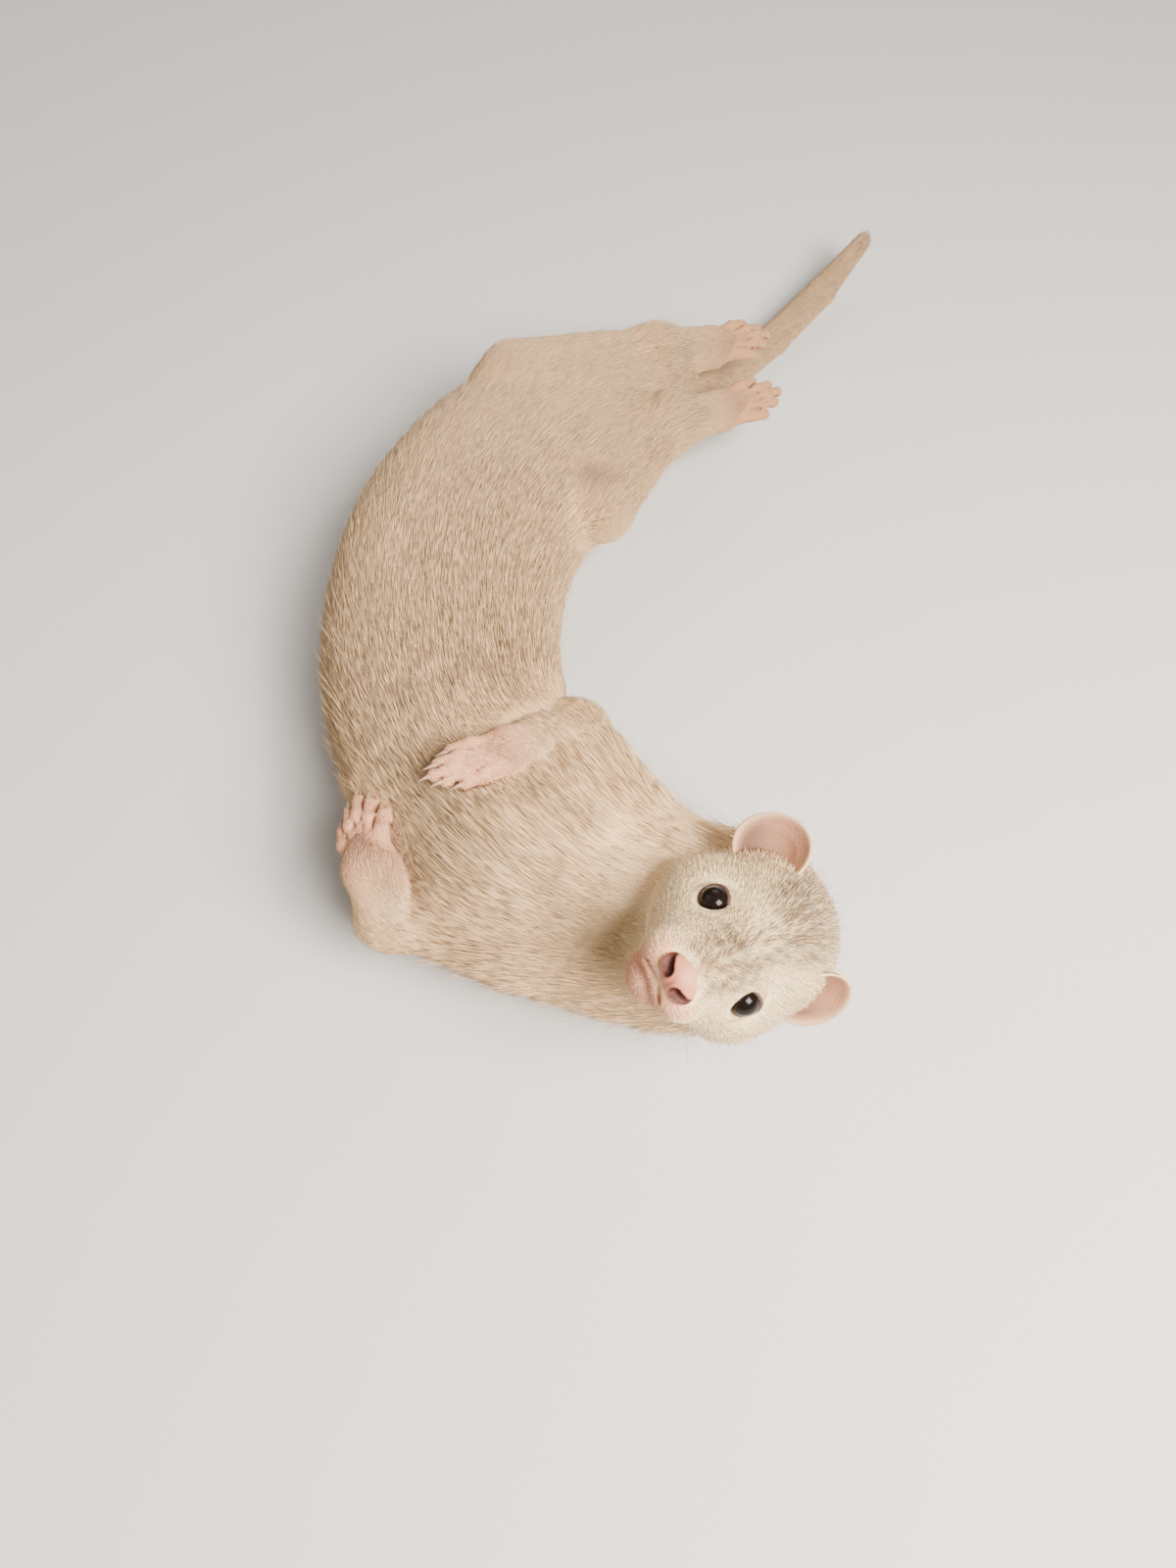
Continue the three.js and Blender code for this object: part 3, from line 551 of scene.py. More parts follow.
def tube(points, radii, sides=8):
    """A closed tube through points, tapered to its radii."""
    points = np.asarray(points, float)
    tangents = unit(np.gradient(points, axis=0))
    guide = v3(0.31, -0.22, 0.92)
    turn = 2 * np.pi * np.arange(sides) / sides
    rings = []
    for point, tangent, radius in zip(points, tangents, radii):
        a = unit(np.cross(tangent, guide))
        b = np.cross(tangent, a)
        rings.append(point + radius * (np.cos(turn)[:, None] * a + np.sin(turn)[:, None] * b))
    vertices = np.concatenate(rings + [points[:1], points[-1:]])
    return vertices, facing_out(vertices, capped_faces(len(rings), sides))


def joined(parts):
    """Several (points, faces) as one."""
    points, faces, count = [], [], 0
    for p, f in parts:
        points.append(p)
        faces.append(np.asarray(f) + count)
        count += len(p)
    return np.concatenate(points), np.concatenate(faces)


# Colours of the coat and skin, by place, with painted shade in hollows and creases

CREAM = v3(0.64, 0.42, 0.22)
PALE_CHEST = v3(0.86, 0.60, 0.33)
TAIL_BEIGE = v3(0.50, 0.31, 0.15)
FACE_WHITE = v3(1.0, 0.77, 0.45)
MASK_BROWN = v3(0.26, 0.15, 0.065)
PAW_PINK = v3(0.68, 0.35, 0.20)
FOOT_TAN = v3(0.50, 0.26, 0.125)
LIP_PINK = v3(0.80, 0.33, 0.20)
CREASE_SHADE_BROWN = v3(0.36, 0.18, 0.10)
SHADE_BROWN = v3(0.40, 0.25, 0.12)
EAR_PINK = v3(0.50, 0.25, 0.15)
EAR_HOLLOW_SHADE = v3(0.085, 0.032, 0.013)
NOSE_PINK = v3(0.60, 0.21, 0.12)
NOSTRIL_SHADE = v3(0.07, 0.012, 0.006)


def toward(colours, target, weight):
    return colours + (target - colours) * np.clip(weight, 0, 1)[:, None]


def spot(q, centre, radii, soft=0.5):
    """1 inside an ellipse-like spot, 0 outside, with a soft edge."""
    far = np.linalg.norm((q - centre) / radii, axis=1)
    return step01((1 + soft - far) / (2 * soft))


def coat_colours(p, chance=0.5):
    """The coat's colour at places on the skin, with painted shade between the forelegs, in the groin fold and
    between the toes; chance varies the brown hairs in the mask.
    """
    colours = np.tile(CREAM, (len(p), 1))
    along = share_along(p)
    colours = toward(colours, PALE_CHEST, step01((0.46 - along) / 0.3))
    # Painted shade on the chest between the forelegs.
    colours = toward(colours, SHADE_BROWN, 0.6 * spot(p, v3(1, -86, 55), v3(14, 20, 16), 0.7))
    colours = toward(colours, TAIL_BEIGE, 0.5 * step01((along - 0.7) / 0.3))
    tail = limb(p, 5, TAIL["joints"], TAIL["radii"])
    colours = toward(colours, TAIL_BEIGE, 0.8 * step01((8 - tail) / 10) * step01((p[:, 1] - 105) / 20))
    for name, leg in LIMBS.items():
        skin_colour = FOOT_TAN if name.startswith("hind") else PAW_PINK
        far = distance(p, paw_middle(leg))
        near = nearby(p, leg["joints"][-2:] + [leg["tip"]], 16, lambda q: paw_outline(q, leg))
        on_leg = step01((2.5 - near) / 3)
        colours = toward(colours, skin_colour, step01((22 - far) / 12) * on_leg)
        # Painted shade in the grooves between the toes.
        gap = nearby(p, [leg["joints"][-1], leg["tip"]], 12, lambda q: toe_gaps(q, leg))
        colours = toward(colours, CREASE_SHADE_BROWN, 0.4 * step01((0.9 - gap) / 0.9))
    # Partly the brownish-pink bare skin of the groin, partly painted shade in the fold where the right thigh
    # meets the belly.
    colours = toward(colours, CREASE_SHADE_BROWN, 0.85 * spot(p, v3(42, 43, 55), v3(7, 5, 12), 0.8))
    q = in_head(p)
    face = step01((46 - distance(q, v3(0, 0, -2))) / 28)
    colours = toward(colours, FACE_WHITE, face)
    flat = q * v3(0, 1, 1)
    front = step01((q[:, 0] + 34) / 10)
    between = spot(flat, v3(0, 0.5, 3), v3(1, 6.5, 7.5), 0.45)
    crown = spot(flat, v3(0, -1.5, 16), v3(1, 11, 6.5), 0.5)
    pale = spot(flat, v3(0, -2, 9.8), v3(1, 4.5, 2.6), 0.6)
    wander = np.sin(1.9 * q[:, 1] + 2.3 * np.sin(0.9 * q[:, 2]))
    fleck = 0.8 + 0.45 * wander * np.sin(1.5 * q[:, 2] + 0.7 * q[:, 1])
    shade = np.clip(((0.9 * between + 0.95 * crown) * fleck - 0.5 * pale) * (0.3 + 1.4 * chance), 0, 1)
    colours = toward(colours, MASK_BROWN, shade * front * face)
    for side in (1, -1):
        rim = distance(q, eye_middle(side))
        colours = toward(colours, MASK_BROWN, 0.6 * step01((6.4 - rim) / 1.8))
    chin = step01((-10.5 - q[:, 2]) / 3) * step01((q[:, 0] - 6) / 8) * step01((9 - np.abs(q[:, 1])) / 3)
    muzzle = step01((q[:, 0] - 21) / 5) * step01((-3 - q[:, 2]) / 3)
    return toward(colours, LIP_PINK, np.clip(0.75 * chin + 0.7 * muzzle, 0, 0.9))


# The lie, length and crowding of the coat, by place


def lie_directions(p):
    """The way the hair points, before it is laid on the skin."""
    index, _ = trunk_place(p)
    pulls = [(trunk(p), ALONG[index])]
    q = in_head(p)
    back = -FORWARDS + 0.35 * np.sign(q[:, 1:2]) * LEFT * step01((q[:, :1] + 5) / 30) - 0.25 * UPWARDS
    pulls.append((nearby(p, [EYES_MIDDLE], 80, lambda r: head_shape(in_head(r))), back))
    for name, one in LIMBS_AND_TAIL.items():
        joints, radii = reach_of(one)
        for i in range(len(joints) - 1):
            near = bone(p, joints[i], joints[i + 1], radii[i], radii[i + 1])
            thigh = name.startswith("hind") and i == 0
            way = ALONG[index] + v3(0, 0, 0.1) if thigh else unit(joints[i + 1] - joints[i])
            pulls.append((near, way))
    total = np.zeros_like(p)
    least = np.min([near for near, _ in pulls], axis=0)
    for near, direction in pulls:
        total += np.exp(-(near - least) / 4)[:, None] * direction
    return total


def laid(directions, normals):
    return unit(directions - (directions * normals).sum(1)[:, None] * normals)


def hair_plan(p):
    """For places on the skin: hair length, width, how steeply it stands, waviness and crowding."""
    q = in_head(p)
    along = share_along(p)
    length = np.interp(along, [0, 0.2, 0.45, 0.6, 0.8, 1], [8.5, 9, 8, 7, 7, 7])
    wave = np.interp(along, [0, 0.3, 0.5, 1], [0.16, 0.2, 0.08, 0.06])
    raised = np.full(len(p), 0.12)
    crowd = np.full(len(p), 1.0)
    on_head = step01((54 - distance(q, v3(-2, 0, -2))) / 26)
    face_length = np.interp(q[:, 0], [-50, -32, -14, 2, 16, 26], [10, 6.5, 4.2, 2.9, 1.9, 1.3])
    length = length + (face_length - length) * on_head
    wave = wave * (1 - 0.7 * on_head)
    for leg in LIMBS.values():
        near_paw = step01((24 - distance(p, leg["joints"][-1])) / 20)
        toe = step01((3.2 - nearby(p, [leg["joints"][-1], leg["tip"]], 12, lambda r: toe_shapes(r, leg))) / 2)
        length = length + (2.0 - length) * near_paw
        length = length + (0.9 - length) * toe
        wave = wave * (1 - near_paw)
        bent = step01((20 - distance(p, leg["joints"][1])) / 12)
        length = length + (np.minimum(length, 4) - length) * bent
    tail = limb(p, 5, TAIL["joints"], TAIL["radii"])
    on_tail = step01((5 - tail) / 4) * step01((p[:, 1] - 108) / 14)
    length = length + (4.2 - length) * on_tail
    crowd = np.clip((9.5 / length) ** 1.4, 0.7, 8)
    for side in (1, -1):
        eye = distance(q, eye_middle(side))
        length = length + (np.minimum(length, 1.3) - length) * step01((EYE_RADIUS + 4 - eye) / 3)
        crowd = crowd * step01((eye - EYE_RADIUS - 0.6) / 0.5)
        crowd = crowd * step01(limb(q, 0.3, [mirror(at, side) for at in LIP], LIP_WIDTHS) / 0.5)
    crowd = crowd * step01((np.linalg.norm((q - NOSE_AT) / v3(3.8, 5.6, 4.4), axis=1) - 0.95) / 0.3)
    crowd = crowd * (p[:, 2] > 1.2)
    width = 0.12 * np.sqrt(length)
    return length, width, raised, wave, crowd


# Materials, with the shader's maths written as expressions


class Wire:
    """A node's output that can be added to and multiplied."""

    def __init__(self, tree, socket):
        self.tree = tree
        self.socket = socket

    def _maths(self, operation, *values):
        return node(self.tree, "ShaderNodeMath", {"operation": operation}, values)

    def __add__(self, other):
        return self._maths("ADD", self, other)

    def __mul__(self, other):
        return self._maths("MULTIPLY", self, other)


def node(tree, kind, settings=None, inputs=None, output=0):
    """Adds a node, sets its settings and sockets, and gives one of its outputs."""
    made = tree.nodes.new(kind)
    for name, value in (settings or {}).items():
        setattr(made, name, value)
    pairs = inputs.items() if isinstance(inputs, dict) else enumerate(inputs or [])
    for name, value in pairs:
        if isinstance(value, Wire):
            tree.links.new(value.socket, made.inputs[name])
        else:
            made.inputs[name].default_value = value
    return Wire(tree, made.outputs[output])


def finish(name, colour, roughness, mottle, scale, bump=None, **fixed):
    """A finish of one colour, or of the piece's own tint where the colour is None. A noise makes
    it a little lighter and darker, and a bump of (scale, height) roughens it."""
    material = bpy.data.materials.new(name)
    material.use_nodes = True
    tree = material.node_tree
    shader = tree.nodes["Principled BSDF"]
    shader.inputs["Roughness"].default_value = roughness
    for socket, value in fixed.items():
        shader.inputs[socket.replace("_", " ")].default_value = value
    if colour is None:
        base = node(tree, "ShaderNodeAttribute", {"attribute_name": "tint"})
    else:
        base = node(tree, "ShaderNodeRGB")
        base.socket.default_value = (*colour, 1)
    shade = noise(tree, scale, 3.0) * (2 * mottle) + (1 - mottle)
    shaded = node(tree, "ShaderNodeVectorMath", {"operation": "SCALE"}, {0: base, "Scale": shade})
    tree.links.new(shaded.socket, shader.inputs["Base Color"])
    if bump:
        height = noise(tree, bump[0], 4.0)
        rough = node(tree, "ShaderNodeBump", {}, {"Height": height, "Distance": bump[1], "Strength": 1.0})
        tree.links.new(rough.socket, shader.inputs["Normal"])
    return material


def noise(tree, scale, detail):
    place = node(tree, "ShaderNodeTexCoord", output="Object")
    return node(tree, "ShaderNodeTexNoise", {}, {"Vector": place, "Scale": scale, "Detail": detail})


COAT = finish("coat_hair", None, 0.62, 0.10, 160.0, Specular_IOR_Level=0.25, Sheen_Weight=0.15)
SKIN = finish("skin_and_down", None, 0.8, 0.12, 420.0, bump=(1500.0, 0.0004), Specular_IOR_Level=0.2)
EAR_SKIN = finish("ear_skin", None, 0.62, 0.08, 700.0, bump=(1800.0, 0.0002), Specular_IOR_Level=0.3)
NOSE_LEATHER = finish("nose_leather", None, 0.5, 0.08, 700.0, bump=(2600.0, 0.00015), Specular_IOR_Level=0.35)
LID_SKIN = finish("lid_skin", (0.10, 0.055, 0.04), 0.55, 0.1, 900.0)
EYE_GLASS = finish("eye_surface", (0.008, 0.005, 0.004), 0.13, 0.2, 300.0, Specular_IOR_Level=0.16)
CLAW_HORN = finish("claw_horn", (0.46, 0.29, 0.18), 0.45, 0.1, 900.0)
WHISKER_HAIR = finish("whisker_hair", (0.30, 0.20, 0.14), 0.4, 0.05, 900.0)


def dressed(piece, slot, *nodes):
    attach(piece, "root")
    if nodes:
        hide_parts(*nodes)
    return piece


# The skin

SKIN_BOX = (v3(-46, -146, -4), v3(160, 214, 98))
MOST_SKIN_TRIANGLES = 188000


def make_skin():
    points, faces = field_surface(whole_skin, *SKIN_BOX, SKIN_CELL)
    points = settled(whole_skin, points, 0.45 * SKIN_CELL)
    skin = mesh_piece("skin", points, faces, SKIN)
    thinner = skin.modifiers.new("thinner", "DECIMATE")
    thinner.ratio = min(1.0, MOST_SKIN_TRIANGLES / len(faces))
    mesh = bpy.data.meshes.new_from_object(skin.evaluated_get(bpy.context.evaluated_depsgraph_get()))
    skin.modifiers.clear()
    skin.data = mesh
    mesh.name = "skin"
    return skin


def points_of(mesh):
    co = np.empty(3 * len(mesh.vertices), np.float32)
    mesh.vertices.foreach_get("co", co)
    return co.reshape(-1, 3).astype(float) / MM


def normals_of(mesh):
    no = np.empty(3 * len(mesh.vertices), np.float32)
    mesh.vertex_normals.foreach_get("vector", no)
    return no.reshape(-1, 3).astype(float)


# The coat: tufts scattered on a surface by Geometry Nodes

BLADE_BENDS = (0.16, 0.26, 0.36)
BLADE_RINGS = ((0.0, 1.0, -0.06), (0.5, 0.8, 0.75))
BLADE_POINTS = 7
# How far a tuft strays from its lie, how strongly it waves, and how its size varies
STRAY = (0.09, 0.09, 0.06)
WAVINESS = 3.2
GROWTH = (0.72, 1.12)


def blade(index, bend):
    """One unit tuft: three-sided, tapered along +Y and arched towards +Z."""
    corners = np.array([(-0.5, 0), (0.5, 0), (0.0, 0.45)])
    points = []
    for along, size, lift in BLADE_RINGS:
        points += [(size * x, along, size * z + bend * lift) for x, z in corners]
    points.append((0.06 * index, 1.0, bend * 0.35))
    faces = [(0, 2, 1)]
    for k in range(3):
        a, b = k, (k + 1) % 3
        faces += [(a, b, b + 3), (a, b + 3, a + 3), (a + 3, b + 3, 6)]
    points = np.array(points)
    faces = facing_out(points, np.array(faces))
    piece = mesh_piece(f"tuft_pattern_{index}", points / MM, faces, COAT)
    return piece, faces


def coat_tree(patterns):
    """The node tree that scatters tufts by the surface's own attributes."""
    tree = bpy.data.node_groups.new("coat_of_tufts", "GeometryNodeTree")
    sockets = tree.interface
    sockets.new_socket("Geometry", in_out="INPUT", socket_type="NodeSocketGeometry")
    named = {}
    for name, kind in (
        ("Tufts per square metre", "NodeSocketFloat"),
        ("Seed", "NodeSocketInt"),
        ("Lock size", "NodeSocketFloat"),
        ("Finish", "NodeSocketMaterial"),
    ):
        named[name] = sockets.new_socket(name, in_out="INPUT", socket_type=kind).identifier
    sockets.new_socket("Geometry", in_out="OUTPUT", socket_type="NodeSocketGeometry")
    given = tree.nodes.new("NodeGroupInput")

    def wire(name):
        return Wire(tree, given.outputs[name])

    def attribute(name, kind):
        return node(tree, "GeometryNodeInputNamedAttribute", {"data_type": kind}, {"Name": name})

    def vector(operation, *values):
        return node(tree, "ShaderNodeVectorMath", {"operation": operation}, values)

    def scaled(value, amount):
        return node(tree, "ShaderNodeVectorMath", {"operation": "SCALE"}, {0: value, "Scale": amount})

    def random_value(kind, low, high, seed_step):
        """A random value for each tuft, from a seed of its own."""
        seed = wire("Seed") + seed_step
        made = node(tree, "FunctionNodeRandomValue", {"data_type": kind}, {"Seed": seed}).socket.node
        limits = {"Min": low, "Max": high}
        for socket in made.inputs:
            if socket.enabled and socket.name in limits:
                socket.default_value = limits[socket.name]
        return Wire(tree, next(out for out in made.outputs if out.enabled))

    density = attribute("crowd", "FLOAT") * wire("Tufts per square metre")
    scatter = node(tree, "GeometryNodeDistributePointsOnFaces", {}, {
        "Mesh": wire("Geometry"), "Density": density, "Seed": wire("Seed"),
    })
    normal = Wire(tree, scatter.socket.node.outputs["Normal"])
    position = node(tree, "GeometryNodeInputPosition")
    rooted = node(tree, "GeometryNodeStoreNamedAttribute", {"data_type": "FLOAT_VECTOR"}, {
        "Geometry": scatter, "Name": "root", "Value": position,
    })
    swirl = node(tree, "ShaderNodeTexNoise", {}, {
        "Vector": position, "Scale": wire("Lock size"), "Detail": 2.0,
    }, output="Color")
    swirl = scaled(vector("SUBTRACT", swirl, (0.5, 0.5, 0.5)), attribute("wave", "FLOAT") * WAVINESS)
    stray = random_value("FLOAT_VECTOR", [-size for size in STRAY], STRAY, 5)
    upright = scaled(normal, attribute("raised", "FLOAT"))
    direction = vector("ADD", attribute("lie", "FLOAT_VECTOR"), upright)
    direction = vector("ADD", vector("ADD", direction, swirl), stray)
    turn = node(tree, "FunctionNodeAxesToRotation", {"primary_axis": "Y", "secondary_axis": "Z"}, {
        "Primary Axis": direction, "Secondary Axis": normal,
    })
    patterns_in = tree.nodes.new("GeometryNodeJoinGeometry")
    for pattern in patterns:
        shape = node(tree, "GeometryNodeObjectInfo", {}, {"Object": pattern, "As Instance": True}, "Geometry")
        tree.links.new(shape.socket, patterns_in.inputs[0])
    pick = random_value("INT", 0, len(patterns) - 1, 9)
    growth = random_value("FLOAT", *GROWTH, 13)
    tufts = node(tree, "GeometryNodeInstanceOnPoints", {}, {
        "Points": rooted,
        "Instance": Wire(tree, patterns_in.outputs[0]),
        "Pick Instance": True,
        "Instance Index": pick,
        "Rotation": turn,
        "Scale": scaled(attribute("size", "FLOAT_VECTOR"), growth),
    })
    real = node(tree, "GeometryNodeRealizeInstances", {}, {"Geometry": tufts})
    final = node(tree, "GeometryNodeSetMaterial", {}, {"Geometry": real, "Material": wire("Finish")})
    out = tree.nodes.new("NodeGroupOutput")
    tree.links.new(final.socket, out.inputs[0])
    return tree, named


def scatter_tufts(surface, tree, named, per_square_metre, seed, lock_size):
    """Runs the tree on a surface and gives each tuft's points and its root, in millimetres."""
    growth = surface.modifiers.new("coat", "NODES")
    growth.node_group = tree
    growth[named["Tufts per square metre"]] = float(per_square_metre)
    growth[named["Seed"]] = seed
    growth[named["Lock size"]] = float(lock_size)
    growth[named["Finish"]] = COAT
    mesh = bpy.data.meshes.new_from_object(surface.evaluated_get(bpy.context.evaluated_depsgraph_get()))
    surface.modifiers.clear()
    points = points_of(mesh)
    roots = np.empty(3 * len(points), np.float32)
    mesh.attributes["root"].data.foreach_get("vector", roots)
    roots = roots.reshape(-1, BLADE_POINTS, 3)[:, 0].astype(float) / MM
    bpy.data.meshes.remove(mesh)
    return points.reshape(-1, BLADE_POINTS, 3), roots


def skin_place(p):
    """Where a place on the skin falls on its unwrap: a band for the trunk and the head, one for
    each limb and one for the tail, each with the way along it and the way round it."""
    index, t, side, up, _ = trunk_local(p)
    share = (index + t) / TRUNK_STEPS
    round_ = np.arctan2(up, side) / (2 * np.pi) + 0.5
    places = np.c_[share, 0.02 + 0.4 * round_]
    least = trunk(p)
    q = in_head(p)
    head = head_shape(q)
    polar = np.c_[(q[:, 0] + 55) / 90, 0.45 + 0.25 * (np.arctan2(q[:, 2] + 3, q[:, 1]) / (2 * np.pi) + 0.5)]
    places = np.where((head < least)[:, None], polar, places)
    least = np.minimum(least, head)
    for row, one in enumerate(LIMBS_AND_TAIL.values()):
        joints, radii = reach_of(one)
        for i in range(len(joints) - 1):
            a, b = joints[i], joints[i + 1]
            near = bone(p, a, b, radii[i], radii[i + 1])
            along = np.clip((p - a) @ (b - a) / ((b - a) @ (b - a)), 0, 1)
            across = unit(np.cross(b - a, v3(0.2, 0.3, 0.9)))
            over = unit(np.cross(b - a, across))
            turn = np.arctan2((p - a) @ over, (p - a) @ across) / (2 * np.pi) + 0.5
            spot_at = np.c_[(i + along) / (len(joints) - 1), 0.72 + 0.055 * (row + 0.9 * turn)]
            places = np.where((near < least)[:, None], spot_at, places)
            least = np.minimum(least, near)
    return np.clip(places, 0.004, 0.996)


TUFT_CORNERS = np.array([(0, 0), (1, 0), (0.5, 0.1), (0.1, 0.5), (0.9, 0.5), (0.5, 0.6), (0.5, 1)])
TUFT_ALONG = np.array([0, 0, 0, 0.5, 0.5, 0.5, 1.0])
PATCH = 0.003
LOWEST_TUFT = 0.12


def coat_piece(name, tufts, roots, faces, slot):
    """One piece of coat from its tufts, with its colours and its own map."""
    count = len(tufts)
    tufts = tufts.copy()
    tufts[:, :, 2] = np.maximum(tufts[:, :, 2], LOWEST_TUFT)
    all_faces = (faces[None] + BLADE_POINTS * np.arange(count)[:, None, None]).reshape(-1, 3)
    piece = mesh_piece(name, tufts.reshape(-1, 3), all_faces, COAT)
    chance = rng.random(count)
    tone = 0.96 + 0.08 * chance
    # Painted shade: each tuft is a little darker at its root than at its tip.
    shade = tone[:, None] * (0.99 + 0.03 * TUFT_ALONG)[None]
    colours = coat_colours(roots, rng.random(count))[:, None] * shade[:, :, None]
    give_tint(piece.data, colours.reshape(-1, 3))
    corner = skin_place(roots)[:, None] + PATCH * (TUFT_CORNERS - 0.5)[None]
    layer = piece.data.uv_layers.new(name="OFBake")
    layer.data.foreach_set("uv", corner.reshape(-1, 2)[all_faces.ravel()].astype(np.float32).ravel())
    return dressed(piece, slot)


def give_plan(mesh, lie, size, raised, wave, crowd):
    """Stores the coat's plan on a surface for the tree to read."""
    give(mesh, "lie", "FLOAT_VECTOR", "vector", laid(lie, normals_of(mesh)))
    give(mesh, "size", "FLOAT_VECTOR", "vector", size * MM)
    for name, values in (("raised", raised), ("wave", wave), ("crowd", crowd)):
        give(mesh, name, "FLOAT", "value", values)


def copied(piece):
    """A copy of a piece with a mesh of its own, for tufts to grow on."""
    surface = piece.copy()
    surface.data = piece.data.copy()
    bpy.context.scene.collection.objects.link(surface)
    return surface


def body_surface(skin):
    """A copy of the skin that carries the coat's plan."""
    surface = copied(skin)
    points = points_of(surface.data)
    length, width, raised, wave, crowd = hair_plan(points)
    give_plan(surface.data, lie_directions(points), np.c_[width, length, width], raised, wave, crowd)
    return surface


def guard_surface(surface):
    """A copy of the coat's surface for the few longer, finer hairs that break the outline."""
    guard = copied(surface)
    length, width, raised, _, _ = hair_plan(points_of(guard.data))
    changes = (
        ("size", "vector", np.c_[width * 0.6, length * 1.3, width * 0.6] * MM),
        ("raised", "value", raised + 0.3),
        ("crowd", "value", 0.09 * step01((length - 4) / 3)),
    )
    for name, field, values in changes:
        guard.data.attributes[name].data.foreach_set(field, values.astype(np.float32).ravel())
    return guard


def clear_of_eyes(tufts):
    """Which tufts leave the eyes' openings free."""
    clear = np.ones(len(tufts), bool)
    for side in SIDES.values():
        e = (in_head(tufts.reshape(-1, 3)) - eye_middle(side)) @ eye_axes(side).T
        over = (np.linalg.norm(e[:, :2], axis=1) < EYE_OPEN[0] + 0.25) & (e[:, 2] > 0) & (e[:, 2] < 12)
        clear &= ~over.reshape(-1, BLADE_POINTS).any(axis=1)
    return clear


TRUNK_PARTS = np.array(["neck", "chest", "belly", "hips"], "<U16")
TRUNK_PARTS_END = (0.3, 0.5, 0.74)


def part_names(p):
    """Names the part of the body that each place belongs to."""
    q = in_head(p)
    least = trunk(p) - 1.5
    names = TRUNK_PARTS[np.searchsorted(TRUNK_PARTS_END, share_along(p), side="right")]
    for one in LIMBS_AND_TAIL.values():
        joints, radii = reach_of(one)
        near = limb(p, 3, joints, radii)
        closer = near < least
        names[closer] = "legs" if "tip" in one else "tail"
        least = np.minimum(least, near)
    for leg in LIMBS.values():
        names[distance(p, paw_middle(leg)) < 17] = "paws"
    head = q[:, 0] > -30 - 0.15 * np.abs(q[:, 1])
    names[head & (head_shape(q) < trunk(p) + 2)] = "head"
    return names


# Small parts of the face and feet


def make_eyes():
    for name, side in SIDES.items():
        rows, around = 24, 36
        lat = np.linspace(0, np.pi, rows)[1:-1]
        lon = np.linspace(0, 2 * np.pi, around, endpoint=False)
        ball = np.array([(np.sin(a) * np.cos(b), np.sin(a) * np.sin(b), np.cos(a)) for a in lat for b in lon])
        bulge = 1 + 0.05 * step01((ball[:, 2] - 0.55) / 0.45)
        local = ball * bulge[:, None] * EYE_RADIUS
        local = np.concatenate([local, [(0, 0, EYE_RADIUS * 1.05), (0, 0, -EYE_RADIUS)]])
        points = from_head(eye_middle(side) + local @ eye_axes(side))
        faces = facing_out(points, capped_faces(rows - 2, around))
        dressed(mesh_piece(f"eyeball_{name}", points, faces, EYE_GLASS), "eye", f"eye_{name}")


def make_lids():
    """A thin bare rim round each eye's opening."""
    parts = []
    for side in SIDES.values():
        turn = np.linspace(0, 2 * np.pi, 49)[:-1]
        wide, high = EYE_OPEN[0] - 0.22, EYE_OPEN[1] - 0.2
        rim = np.c_[wide * np.cos(turn), high * np.sin(turn), np.zeros(48)]
        ball = EYE_RADIUS + 0.12
        rim[:, 2] = np.sqrt(np.maximum(ball**2 - rim[:, 0] ** 2 - rim[:, 1] ** 2, 0.3))
        centre = eye_middle(side)
        ring = from_head(centre + rim @ eye_axes(side))
        middle = from_head(centre)
        outwards = unit(ring - middle)
        gaze = unit(eye_axes(side)[2] @ HEAD_AXES)
        away = unit(outwards - (outwards @ gaze)[:, None] * gaze)
        sides = 8
        round_ = 2 * np.pi * np.arange(sides) / sides
        points = ring[:, None] + 0.42 * np.cos(round_)[None, :, None] * away[:, None]
        points = points + 0.3 * np.sin(round_)[None, :, None] * outwards[:, None]
        points = points.reshape(-1, 3)
        faces = facing_out(points, ring_faces(len(ring), sides, closed=True))
        parts.append((points, faces))
    dressed(mesh_piece("lid_rims", *joined(parts), LID_SKIN), "face_fur")


def nostrils(q):
    """Both nostrils: a round opening whose slit curls outwards and up."""
    x, y, z = NOSE_AT
    sides = []
    for s in (1, -1):
        path = [
            v3(x + 2.4, y + 2.5 * s, z - 1.1),
            v3(x + 2.1, y + 3.9 * s, z - 0.6),
            v3(x + 0.9, y + 5.1 * s, z + 0.3),
            v3(x - 0.4, y + 5.5 * s, z + 1.3),
        ]
        sides.append(limb(q, 0.5, path, [1.3, 1.0, 0.6, 0.3]))
    return np.minimum(*sides)


def nose_shape(p):
    q = in_head(p)
    x, y, z = NOSE_AT
    pad = blend(1.4, [lump(q, NOSE_AT, v3(3.4, 4.4, 3.5))]
                + [lump(q, v3(x - 0.6, y + 3.3 * s, z - 0.7), v3(2.9, 2.2, 2.5)) for s in (1, -1)])
    pad = smooth_max(pad, -nostrils(q), 0.5)
    groove = bone(q, v3(x + 3.7, y, z - 0.5), v3(x + 1.5, y, z - 4.4), 0.4, 0.5)
    return smooth_max(pad, -groove, 0.6)


def make_nose():
    middle = from_head(NOSE_AT)
    points, faces = field_surface(nose_shape, middle - 9, middle + 9, 0.3)
    points = settled(nose_shape, points, 0.12)
    nose = mesh_piece("nose_leather", points, faces, NOSE_LEATHER)
    colours = np.tile(NOSE_PINK, (len(points), 1))
    far = nostrils(in_head(points))
    colours = toward(colours, FACE_WHITE, 0.15 * step01((far - 1.2) / 2.4))
    # Painted shade deep in the nostrils.
    colours = toward(colours, NOSTRIL_SHADE, step01((0.6 - far) / 0.5))
    give_tint(nose.data, colours)
    dressed(nose, "nose_skin", "nose")


